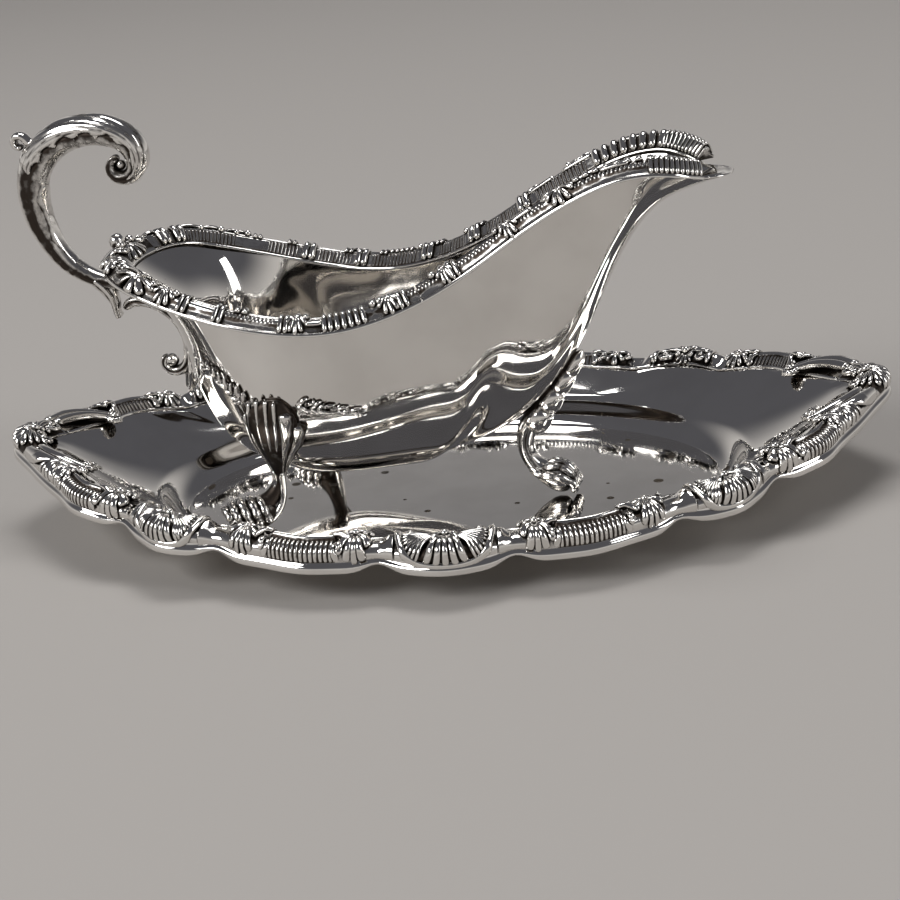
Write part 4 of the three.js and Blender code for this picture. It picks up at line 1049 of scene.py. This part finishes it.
# The same with y after x, for the lobe on the left of the hanging leaf
LEAF_LOBE = [
    [-73.0, 0.8, 47.0, 1.2, 1.2], [-72.6, 1.3, 42.0, 1.4, 1.3], [-72.9, 1.5, 37.5, 1.5, 1.2],
    [-73.6, 1.1, 34.0, 1.2, 1.0], [-74.8, 0.5, 31.2, 0.5, 0.5],
]
VOLUTE_CENTRE = (-86.9, 99.4)
VOLUTE_STATIONS = 10
ACROSS = (0, 1, 0)
STRAP_STEPS = 300
STRAP_SIDES = 56
LOWER_STEPS = 140
LOWER_SIDES = 40
SPUR_SIDES = 32
UPPER_FLANK = (0.2,)               # angles of the grooves along the flanks
LOWER_FLANK = (0.05,)
SPUR_FLANK = (0.5, -0.5)
LEAF_RINGS = slice(130, 285)       # rings of the strap under the outer leaf
INNER_RINGS = slice(60, 160)       # and under the leaf inside the bend
LEAF_HIDDEN = 0.72                 # size at which the skin of a leaf lies inside the strap


def in_plane(points):
    return [[x, 0, z, depth, thick] for x, z, depth, thick in points]


def grooves(angle, depth, places, width=0.16):
    """Depth of longitudinal grooves at the given angles on both flanks."""
    total = 0
    for g in places:
        for a in (g, math.pi - g):
            gap = np.abs((angle - a + math.pi) % (2 * math.pi) - math.pi)
            total = total + np.exp(-(gap / width) ** 2)
    return depth * np.clip(total, 0, 1)


def volute_stations():
    """Stations of the volute in which the upper scroll ends."""
    spiral = []
    for i in range(VOLUTE_STATIONS):
        t = i / (VOLUTE_STATIONS - 1)
        angle = math.radians(16 - 286 * t)
        radius = 5.6 - 3.9 * t ** 0.72
        x = VOLUTE_CENTRE[0] + radius * math.cos(angle)
        z = VOLUTE_CENTRE[1] + radius * math.sin(angle)
        spiral.append([x, z, 3.7 - 1.4 * t, 3.3 - 2.2 * t ** 0.6])
    return spiral


def upper_shape(angle, share):
    cut = grooves(angle, 0.2, UPPER_FLANK, 0.3)
    return (1 - cut) * np.maximum(round_ends(share, 0.01, 0.012), 0.05)


def lower_shape(angle, share):
    return (1 - grooves(angle, 0.3, LOWER_FLANK, 0.3)) * np.maximum(round_ends(share, 0.03, 0.03), 0.05)


def spur_shape(angle, share):
    return (1 - grooves(angle, 0.22, SPUR_FLANK)) * np.maximum(round_ends(share, 0.05, 0.04), 0.05)


def leaf_edge(share):
    """Scalloped edge of the outer leaf, as a height on the strap's section."""
    return -0.5 + 0.5 * np.abs(np.sin(np.pi * (share - 0.5) * 17.0)) ** 0.7


def inner_edge(share):
    """The same for the leaf inside the bend, as a depth."""
    return 0.4 + 0.25 * np.abs(np.sin(np.pi * share * 9)) ** 0.8


def leaf_shape(angle, share):
    high = np.sin(angle)
    cover = smooth(-0.05, 0.05, high - leaf_edge(share))
    ends = smooth(0.50, 0.53, share) * (1 - smooth(0.86, 0.93, share))
    vein = 0.03 * np.sin(high * 20 + share * 60)
    return LEAF_HIDDEN + (0.35 + vein) * cover * ends


def inner_shape(angle, share):
    cover = smooth(-0.06, 0.06, -np.sin(angle) - inner_edge(share))
    ends = smooth(0.21, 0.26, share) * (1 - smooth(0.47, 0.53, share))
    return LEAF_HIDDEN + 0.34 * cover * ends


def upper_scroll():
    """Strap and volute with a leaf outside, one inside the bend, the thumb curl, a bead and the spur."""
    casting = Casting()
    stations = in_plane(STRAP + volute_stations())
    angle = circle(STRAP_SIDES)
    share = np.linspace(0, 1, STRAP_STEPS + 1)[:, None]
    high = np.sin(angle)[None]

    def wrap(shape):
        return tube_rings(stations, STRAP_STEPS, STRAP_SIDES, side=ACROSS, shape=shape)

    # Strap painted mid-dark as oxide and shade, darker in its flank grooves, with a painted highlight line
    # along each upper flank
    dark = grooves(angle, 1.0, UPPER_FLANK, 0.42) + 0.45
    casting.skin(wrap(upper_shape), np.clip(dark - grooves(angle, 1.0, (0.95,), 0.25), 0, 1))
    # Leaf edges and vein hollows painted dark, as shade and oxide
    edge = np.exp(-((high - leaf_edge(share) + 0.04) / 0.1) ** 2) * smooth(0.50, 0.53, share)
    veins = 0.7 * smooth(0.2, 0.8, -np.sin(high * 20 + share * 60)) * (high > leaf_edge(share))
    casting.skin(wrap(leaf_shape)[LEAF_RINGS], np.clip(edge + veins, 0, 1)[LEAF_RINGS])
    edge = 0.25 + 0.7 * np.exp(-((-high - inner_edge(share)) / 0.12) ** 2)
    casting.skin(wrap(inner_shape)[INNER_RINGS], edge[INNER_RINGS])
    casting.skin(tube_rings(in_plane(THUMB_CURL), 40, 16, side=ACROSS, shape=rounded(0.02, 0.06, 0.05)))
    ball(casting, (VOLUTE_CENTRE[0] + 0.2, 0, VOLUTE_CENTRE[1] - 0.1), 1.5)
    # Spur's flank grooves painted dark, as shade and oxide
    casting.skin(tube_rings(in_plane(SPUR), 40, SPUR_SIDES, side=ACROSS, shape=spur_shape),
                 grooves(circle(SPUR_SIDES), 1.0, SPUR_FLANK))
    return casting


def lower_scroll():
    """Strap with its bead and a hanging leaf of two lobes and a midrib."""
    casting = Casting()
    angle = circle(LOWER_SIDES)
    # Strap painted mid-dark as oxide and shade, darker in its flank grooves, with four painted highlight
    # lines along it
    dark = 0.45 + grooves(angle, 0.6, LOWER_FLANK, 0.3) - grooves(angle, 0.45, (0.6, -0.6), 0.2)
    casting.skin(tube_rings(in_plane(LOWER), LOWER_STEPS, LOWER_SIDES, side=ACROSS, shape=lower_shape),
                 np.clip(dark, 0, 1))
    ball(casting, (-79.2, 0, 41.0), 2.1)
    ends = rounded(0.1, 0.06, 0.05)
    for half in (-1, 1):
        lobe = [[x, half * y, *rest] for x, y, *rest in LEAF_LOBE]
        casting.skin(tube_rings(lobe, 36, 14, side=ACROSS, shape=ends))
    casting.skin(tube_rings(in_plane(LEAF_MIDRIB), 30, 12, side=ACROSS, shape=ends))
    return casting


def stand(points):
    """Nothing of a foot reaches below the plane that it stands on."""
    q = points.copy()
    q[..., 2] = np.maximum(q[..., 2], 0.0)
    return q


ROD_STEPS = 40
ROD_SIDES = 14


def rod(casting, points, size, bumps=0, side=None):
    """Rounded rib of the given size along points, with bumps along it."""
    def shape(angle, share):
        wave = 1 - 0.2 * np.abs(np.cos(np.pi * bumps * share)) ** 4 if bumps else 1.0
        return wave * np.maximum(round_ends(share, 0.08, 0.06), 0.04) * np.ones_like(angle)

    share = np.linspace(0, 1, ROD_STEPS + 1)
    # Dips between the bumps painted dark, as shade and oxide
    dark = 0.7 * np.abs(np.cos(np.pi * bumps * share)) ** 6 if bumps else 0 * share
    rings = tube_rings([[*p, size, size] for p in points], ROD_STEPS, ROD_SIDES, side=side, shape=shape)
    casting.skin(rings, dark[:, None])


# Rear foot: height, then middle, half width and front of its fluted knee in the boat's frame
KNEE = np.array([[16.0, -41.0, 1.8, 27.0], [20.0, -40.4, 3.2, 29.4], [24.0, -39.8, 5.2, 32.0],
                 [28.0, -39.2, 7.0, 34.0], [32.0, -38.8, 8.0, 35.2], [36.0, -38.6, 8.2, 35.6],
                 [41.5, -38.6, 7.9, 34.8]])
# Ridges and petals of the knee: place across it, height of the top, and half width there
RIDGES = [[-1.0, 36.2, 0.65], [-0.82, 39.6, 0.7], [-0.5, 40.6, 0.7], [-0.16, 40.8, 0.75], [0.14, 40.2, 0.8],
          [0.5, 37.0, 2.6], [0.88, 33.0, 2.6]]
TOE_CENTRE = np.array([-48.6, 31.4, 5.4])
TOE_AHEAD = np.array([-0.88, 0.475, 0.0])
TOE_ACROSS = np.array([0.475, 0.88, 0.0])
TOE_SIZE = (7.2, 4.7, 4.5)
TOE_RINGS = (-3.6, -0.9, 1.8, 4.3, 6.2)
TOE_WRAP = 1.02                    # size of the rings' path, as a share of the toe's
# Middle line of the rear foot: x, y, z, half width, half thickness
REAR_CORE = [
    [-41.4, 33.4, 39.8, 4.2, 1.2], [-40.2, 33.6, 36.4, 6.2, 1.9], [-38.9, 32.8, 31.6, 7.2, 2.3],
    [-39.5, 30.8, 26.0, 5.4, 2.5], [-40.6, 27.8, 20.5, 2.8, 2.5], [-41.2, 25.9, 15.4, 1.9, 2.0],
    [-42.4, 26.4, 11.4, 2.0, 2.2], [-45.2, 28.6, 8.0, 2.8, 2.8], [-48.6, 30.6, 6.0, 3.8, 3.8],
]
RIDGE_ROOT = 15.5                  # height at which the ridges of the knee begin
ALONG = (1, 0, 0)
# Wings of the knee: x and height of the root, x and height of the tip, count of leaves
WINGS = ((-46.5, 38.6, -60.0, 49.5, 9), (-31.5, 38.6, -16.0, 35.4, 10))


def on_toe(ahead, turn):
    """Point on the rear toe at a distance ahead of its middle and a turn about its axis."""
    long, across, high = TOE_SIZE
    round_off = math.sqrt(max(1 - (ahead / (long + 0.4)) ** 2, 0.04)) * TOE_WRAP
    lean = 1.3 * math.sin(turn)
    point = TOE_CENTRE + (ahead + lean) * TOE_AHEAD + across * round_off * math.cos(turn) * TOE_ACROSS
    return point + np.array([0, 0, high * round_off * math.sin(turn)])


def knee_ridge(casting, across, top, wide):
    """Ridge of the fluted knee, which widens upward."""
    path = []
    for t in np.linspace(0, 1, 8):
        z = RIDGE_ROOT + (top - RIDGE_ROOT) * t
        middle, half, front = (np.interp(z, KNEE[:, 0], KNEE[:, i]) for i in (1, 2, 3))
        depth = (front - 25.6) * (1 - 0.3 * across ** 2)
        path.append([middle + across * half, 25.4 + depth, z, 0.4 + (wide - 0.4) * t ** 1.2,
                     0.55 + 0.5 * wide * t ** 0.9])
    rings = tube_rings(path, 46, 14, side=ALONG, shape=rounded(0.05, 0.05, 0.05))
    # Ridge sides painted dark, as shade and oxide in the flutes between them
    casting.skin(rings, np.clip(1.3 * np.abs(np.cos(circle(14))) ** 2, 0, 1))


def rear_toe(casting):
    """Egg-shaped toe wound with bumpy rings."""
    polar = np.linspace(0.1, np.pi - 0.1, 20)[:, None]
    turn = circle(24)[None]
    long, wide, high = TOE_SIZE
    body = (TOE_CENTRE + long * np.cos(polar)[..., None] * TOE_AHEAD
            + wide * (np.sin(polar) * np.cos(turn))[..., None] * TOE_ACROSS
            + high * (np.sin(polar) * np.sin(turn))[..., None] * np.array([0, 0, 1.0]))
    # Toe under its rings painted dark, as shade and oxide
    casting.skin(body, 0.9)
    for i, ahead in enumerate(TOE_RINGS):
        points = [on_toe(ahead, turn) for turn in np.radians(np.linspace(-28, 208, 9))]
        rod(casting, points, 1.25, bumps=6 + i % 2)


def rear_foot(side):
    """Fluted knee, narrow neck, wound toe and two leafy wings; side is 1 on the left, -1 on the right."""
    def mirror(points):
        return stand(points) * np.array([1, side, 1])

    casting = Casting(mirror)
    # Core behind the ridges painted fully dark, as shade and oxide
    casting.skin(tube_rings(REAR_CORE, 90, 24, side=ALONG, shape=rounded(0.05, 0.05, 0.05)), 1.0)
    for ridge in RIDGES:
        knee_ridge(casting, *ridge)
    for offset, low in ((-1.1, 0.0), (0.9, -1.6)):
        path = [[-41.2 + offset, 27.2, 17.5], [-41.1 + offset, 27.0, 14.0 + low],
                [-41.8 + offset, 28.0, 10.6 + 2 * low], [-44.4 + offset, 30.6, 8.6 + 3 * low],
                [-47.8, 33.0, 7.6 + 3.4 * low]]
        rod(casting, path, 1.05, side=ALONG)
    rear_toe(casting)
    for wing in WINGS:
        acanthus(casting, *wing)
    return casting


def on_bowl(x, z):
    """Point and outward normal of the bowl's wall on its left side, nearest to a given x and height."""
    half = BOWL_COLUMNS // 2
    rows, out = bowl_rows[2:-4, 1:half], bowl_out[2:-4, 1:half]
    gap = (rows[..., 0] - x) ** 2 + (rows[..., 2] - z) ** 2
    i, j = np.unravel_index(np.argmin(gap), gap.shape)
    return rows[i, j], out[i, j]


LEAF_STEP = 2.8                    # reach of one leaf of a wing along it
LEAF_SPREAD = 2.6                  # and beside it


def acanthus(casting, x0, z0, x1, z1, count):
    """Spiky leaf that climbs along the bowl's wall from the knee."""
    along = np.array([x1 - x0, z1 - z0])
    along = along / np.linalg.norm(along)
    beside = np.array([-along[1], along[0]])
    for i in range(count):
        t = i / (count - 1)
        x, z = x0 + (x1 - x0) * t, z0 + (z1 - z0) * t
        size = 1 - 0.65 * t
        for lean in (0.9, -0.75):
            side = beside * lean
            if side[1] * lean < 0:
                side = -side
            path = []
            for r in (0.0, 0.35, 0.7, 1.0):
                px = x + (along[0] * LEAF_STEP + side[0] * LEAF_SPREAD * size) * r
                pz = z + (along[1] * LEAF_STEP + side[1] * LEAF_SPREAD * size) * r
                point, normal = on_bowl(px, pz)
                raised = point + normal * (0.5 + 0.7 * math.sin(math.pi * r))
                path.append([*raised, 0.85 * size * (1.1 - 0.6 * r), 0.6 * size])
            casting.skin(tube_rings(path, 12, 8, side=(1, 0, 0.2), shape=rounded(0.2, 0.15, 0.05)), 0.25)


# Front foot, from FRONT_FOOT_X: distance ahead, height, half width, half thickness
FRONT_CORE = [
    [16.0, 42.0, 1.4, 1.2], [12.2, 36.0, 2.2, 2.0], [7.6, 29.4, 2.8, 2.4], [3.0, 24.0, 3.2, 2.6],
    [0.2, 19.6, 3.4, 2.8], [-0.6, 15.6, 3.2, 2.5], [0.2, 11.6, 3.1, 2.4], [2.8, 8.0, 3.4, 2.8],
    [6.4, 5.8, 4.2, 3.8], [9.8, 4.8, 4.4, 4.2], [12.0, 4.9, 3.6, 3.4],
]
SCALES = [[14.2, 38.4, 2.6, 2.2], [11.0, 33.6, 3.4, 2.8], [7.2, 28.4, 4.0, 3.4], [3.2, 22.8, 4.4, 3.9]]
# Stations of a scale: distance ahead and height from its middle, shares of its width and thickness
SCALE_PATH = ((-2.6, -4.4, 0.55, 0.7), (-0.8, -1.8, 0.95, 1), (1.0, 1.0, 1, 1), (2.4, 3.2, 0.7, 0.75),
              (3.2, 4.6, 0.25, 0.35))
FRONT_FLANK = (0.2, -0.6)
FRONT_SIDES = 32
TOE_LEANS = (-62, -31, 0, 31, 62)


def front_shape(angle, share):
    return np.maximum(round_ends(share, 0.04, 0.03), 0.05) * (1 - grooves(angle, 0.1, FRONT_FLANK))


def front_foot():
    """Foot that climbs the keel as overlapping scales, with a toe of bumpy ribs."""
    casting = Casting(stand)
    x = FRONT_FOOT_X
    core = [[x + ahead, 0, z, wide, thick] for ahead, z, wide, thick in FRONT_CORE]
    # Core painted a little dark, darker in its flank grooves, as oxide and shade
    casting.skin(tube_rings(core, 120, FRONT_SIDES, side=ACROSS, shape=front_shape),
                 0.25 + grooves(circle(FRONT_SIDES), 0.6, FRONT_FLANK))
    # Each scale painted dark at its root, under the scale above, as shade and oxide
    dark = 0.9 * (1 - smooth(0.02, 0.2, np.linspace(0, 1, 31)[:, None])) + 0.1
    for ahead, high, wide, thick in SCALES:
        path = [[x + ahead + dx, 0, high + dz, wide * w, thick * h] for dx, dz, w, h in SCALE_PATH]
        casting.skin(tube_rings(path, 30, 24, side=ACROSS, shape=rounded(0.4, 0.3, 0.04)), dark)
    for lean in np.radians(TOE_LEANS):
        points = [[x + 0.4, 2.0 * math.sin(lean), 8.8],
                  [x + 4.0, 4.0 * math.sin(lean), 8.6 * math.cos(lean * 0.6)],
                  [x + 8.6, 4.9 * math.sin(lean), 1.0 + 8.6 * math.cos(lean * 0.8)],
                  [x + 11.6, 4.4 * math.sin(lean), 1.6 + 6.2 * math.cos(lean * 0.9)],
                  [x + 13.4, 3.9 * math.sin(lean), 1.6 + 3.2 * math.cos(lean * 0.9)],
                  [x + 12.6, 3.8 * math.sin(lean), 1.3]]
        rod(casting, points, 1.3, bumps=4)
    return casting


# Colours
SILVER = (0.84, 0.82, 0.79, 1)
HAZED_SILVER = (0.77, 0.75, 0.72, 1)
TARNISH = (0.10, 0.08, 0.06, 1)
WORN_CREST = (0.78, 0.76, 0.73, 1)
# Dark tone for the oxide in the hollows and for painted shade
OXIDE_AND_SHADE = (0.045, 0.036, 0.030, 1)
FLOOR_TONE = (0.43, 0.405, 0.38, 1)
HORIZON = (0.60, 0.58, 0.56, 1)
OVERHEAD = (0.09, 0.09, 0.10, 1)

# Scales of the patterns, and lengths in metres
HAZE_SCALE = 55.0
SCRATCH_SCALE = 900.0
SPECK_SCALE = 150.0
PATCH_SCALE = 24.0
CLOUD_SCALE = 420.0
SPECKS_BELOW = 0.0065              # the tarnish specks lie in the well
SPECK_RARITY = 0.58                # share of the cells that have no speck
RECESS_REACH = 0.0022              # how near other metal has to be to shade a recess


def feed(tree, socket, value):
    """Links a socket to an output, or sets it to a number or colour."""
    if isinstance(value, bpy.types.NodeSocket):
        tree.links.new(value, socket)
    else:
        socket.default_value = value


def node(tree, kind, **values):
    """Adds a node and gives each value to its property or input of that name."""
    made = tree.nodes.new(kind)
    for key, value in values.items():
        if hasattr(made, key):
            setattr(made, key, value)
        else:
            feed(tree, made.inputs[key], value)
    return made


def ramp(tree, source, low, high, low_value=0.0, high_value=1.0):
    """Maps a value from one range to another, held at both ends."""
    values = {"Value": source, "From Min": low, "From Max": high, "To Min": low_value, "To Max": high_value}
    return node(tree, "ShaderNodeMapRange", interpolation_type="SMOOTHSTEP", **values).outputs["Result"]


def blend_colour(tree, factor, a, b):
    made = node(tree, "ShaderNodeMix", data_type="RGBA")
    for index, value in ((0, factor), (6, a), (7, b)):
        feed(tree, made.inputs[index], value)
    return made.outputs[2]


def math_node(tree, operation, a, b):
    made = node(tree, "ShaderNodeMath", operation=operation)
    feed(tree, made.inputs[0], a)
    feed(tree, made.inputs[1], b)
    return made.outputs[0]


def noise(tree, place, scale, detail):
    return node(tree, "ShaderNodeTexNoise", Vector=place, Scale=scale, Detail=detail).outputs["Fac"]


def new_metal(name):
    """New material; returns it with its node tree and the coordinates of the piece."""
    material = bpy.data.materials.new(name)
    material.use_nodes = True
    tree = material.node_tree
    return material, tree, node(tree, "ShaderNodeTexCoord").outputs["Object"]


def finish_metal(tree, tone, rough, height, strength, distance):
    """Joins colour, roughness and a fine bump to the shader."""
    shader = tree.nodes["Principled BSDF"]
    shader.inputs["Metallic"].default_value = 1.0
    bump = node(tree, "ShaderNodeBump", Strength=strength, Distance=distance, Height=height)
    for key, value in (("Base Color", tone), ("Roughness", rough), ("Normal", bump.outputs["Normal"])):
        feed(tree, shader.inputs[key], value)


def tarnish_spots(tree, place):
    """1 on the specks scattered low in the well, 0 elsewhere; their sizes go in patches."""
    cells = node(tree, "ShaderNodeTexVoronoi", Vector=place, Scale=SPECK_SCALE)
    size = ramp(tree, noise(tree, place, PATCH_SCALE, 2.0), 0.36, 0.7, 0.0, 0.26)
    spot = math_node(tree, "LESS_THAN", cells.outputs["Distance"], size)
    parts = node(tree, "ShaderNodeSeparateColor", Color=cells.outputs["Color"])
    chosen = math_node(tree, "GREATER_THAN", parts.outputs[0], SPECK_RARITY)
    height = node(tree, "ShaderNodeSeparateXYZ", Vector=place).outputs["Z"]
    low = math_node(tree, "LESS_THAN", height, SPECKS_BELOW)
    return math_node(tree, "MULTIPLY", spot, math_node(tree, "MULTIPLY", chosen, low))


def polished_silver(name, specks):
    """Mirror silver plate with a faint haze, hairline scratches and, where asked, tarnish specks."""
    material, tree, place = new_metal(name)
    haze = noise(tree, place, HAZE_SCALE, 3.0)
    tone = blend_colour(tree, ramp(tree, haze, 0.35, 0.7), SILVER, HAZED_SILVER)
    rough = ramp(tree, haze, 0.3, 0.75, 0.035, 0.085)
    drawn = node(tree, "ShaderNodeMapping", Vector=place, Scale=(1.0, 0.06, 0.3), Rotation=(0.2, 0.1, 0.7))
    scratch = noise(tree, drawn.outputs["Vector"], SCRATCH_SCALE, 2.0)
    if specks:
        spot = tarnish_spots(tree, place)
        tone = blend_colour(tree, spot, tone, TARNISH)
        rough = math_node(tree, "MAXIMUM", rough, math_node(tree, "MULTIPLY", spot, 0.5))
    finish_metal(tree, tone, rough, scratch, 0.05, 0.00004)
    return material


def cast_silver(name):
    """Cast silver plate: bright worn crests over dark oxidised recesses, with shade painted into the colour
    where other metal is near and on the undersides.
    """
    material, tree, place = new_metal(name)
    recess = node(tree, "ShaderNodeAttribute", attribute_name="recess").outputs["Fac"]
    # Ambient occlusion paints shade into the colour wherever other metal is near
    shade = node(tree, "ShaderNodeAmbientOcclusion", samples=8, inside=False, Distance=RECESS_REACH)
    occlusion_shade = ramp(tree, shade.outputs["AO"], 0.35, 0.95, 1.0, 0.0)
    cloud = noise(tree, place, CLOUD_SCALE, 4.0)
    weighted_oxide_and_shade = math_node(tree, "MULTIPLY", recess, 0.8)
    total = math_node(tree, "ADD", weighted_oxide_and_shade, math_node(tree, "MULTIPLY", occlusion_shade, 0.75))
    mottle = ramp(tree, cloud, 0.3, 0.7, -0.18, 0.18)
    dark = ramp(tree, math_node(tree, "ADD", total, mottle), 0.14, 0.75)
    tone = blend_colour(tree, dark, WORN_CREST, OXIDE_AND_SHADE)
    finish_metal(tree, tone, ramp(tree, dark, 0.0, 1.0, 0.10, 0.45), cloud, 0.25, 0.00008)
    return material


# Camera, from the photograph's viewing angle
CAMERA_DISTANCE = 0.61431
CAMERA_YAW = math.radians(-2.785)
CAMERA_PITCH = math.radians(20.434)
CAMERA_ROLL = math.radians(4.927)
CAMERA_TARGET = Vector((-0.00178, 0.03026, 0.0013))
CAMERA_LENS = 80.0


def camera():
    cy, sy = math.cos(CAMERA_YAW), math.sin(CAMERA_YAW)
    cp, sp = math.cos(CAMERA_PITCH), math.sin(CAMERA_PITCH)
    view = Vector((sy * cp, cy * cp, -sp))
    level = Vector((cy, -sy, 0))
    upright = level.cross(view)
    cr, sr = math.cos(CAMERA_ROLL), math.sin(CAMERA_ROLL)
    right = cr * level - sr * upright
    up = sr * level + cr * upright
    data = bpy.data.cameras.new("camera")
    data.lens = CAMERA_LENS
    data.sensor_width = 36.0
    data.clip_start = 0.01
    made = bpy.data.objects.new("camera", data)
    bpy.context.scene.collection.objects.link(made)
    turned = Matrix((right, up, -view)).transposed().to_4x4()
    made.matrix_world = Matrix.Translation(CAMERA_TARGET - view * CAMERA_DISTANCE) @ turned
    bpy.context.scene.camera = made


# Lamps: name, place, size and watts; each one points at the boat
LAMP_AIM = Vector((0, 0, 0.03))
LAMPS = (
    ("key", (-1.5, -1.1, 1.5), (1.3, 0.9), 31),
    ("fill", (1.7, -0.9, 1.2), (0.5, 1.2), 10),
    ("top", (0.1, 0.6, 2.2), (1.1, 0.7), 20),
)


def lamp(name, at, size, power):
    data = bpy.data.lights.new(name, "AREA")
    data.shape = "RECTANGLE"
    data.size, data.size_y = size
    data.energy = power
    made = bpy.data.objects.new(name, data)
    made.location = at
    made.rotation_euler = (LAMP_AIM - Vector(at)).to_track_quat("-Z", "Y").to_euler()
    bpy.context.scene.collection.objects.link(made)


FLOOR_RADIUS = 3.6
FLOOR_SIDES = 96


def floor():
    mesh = bpy.data.meshes.new("floor")
    turn = circle(FLOOR_SIDES)
    corners = FLOOR_RADIUS * np.stack([np.cos(turn), np.sin(turn), 0 * turn], -1)
    mesh.from_pydata(corners.tolist(), [], [tuple(range(FLOOR_SIDES))])
    made = bpy.data.objects.new("floor", mesh)
    bpy.context.scene.collection.objects.link(made)
    material = bpy.data.materials.new("floor")
    material.use_nodes = True
    shader = material.node_tree.nodes["Principled BSDF"]
    shader.inputs["Base Color"].default_value = FLOOR_TONE
    shader.inputs["Roughness"].default_value = 0.7
    mesh.materials.append(material)


def world():
    """Pale at the horizon, greyer overhead, so that the silver has something to show."""
    made = bpy.data.worlds.new("world")
    bpy.context.scene.world = made
    made.use_nodes = True
    tree = made.node_tree
    back = tree.nodes["Background"]
    place = node(tree, "ShaderNodeTexCoord").outputs["Generated"]
    height = node(tree, "ShaderNodeSeparateXYZ", Vector=place).outputs["Z"]
    tone = blend_colour(tree, ramp(tree, height, 0.05, 0.55), HORIZON, OVERHEAD)
    feed(tree, back.inputs["Color"], tone)
    feed(tree, back.inputs["Strength"], 1.0)


silver = polished_silver("polished_silver", specks=False)
well_silver = polished_silver("well_silver", specks=True)
cast = cast_silver("cast_silver")

camera()
dish().build("underplate_dish_silver", well_silver, "underplate", "polished_sheet", ["underplate_dish"])
plate_borders(cast)
bowl().build("bowl_silver", silver, "boat", "polished_sheet", ["bowl"], settle=boat_place)
boat_borders(cast)
for piece_name, casting in (("handle_upper_scroll", upper_scroll()), ("handle_lower_scroll", lower_scroll()),
                            ("foot_rear_left", rear_foot(1)), ("foot_rear_right", rear_foot(-1)),
                            ("foot_front", front_foot())):
    build_boat_casting(casting, piece_name, cast)
floor()
world()
for values in LAMPS:
    lamp(*values)

bpy.context.scene.view_settings.view_transform = "Standard"
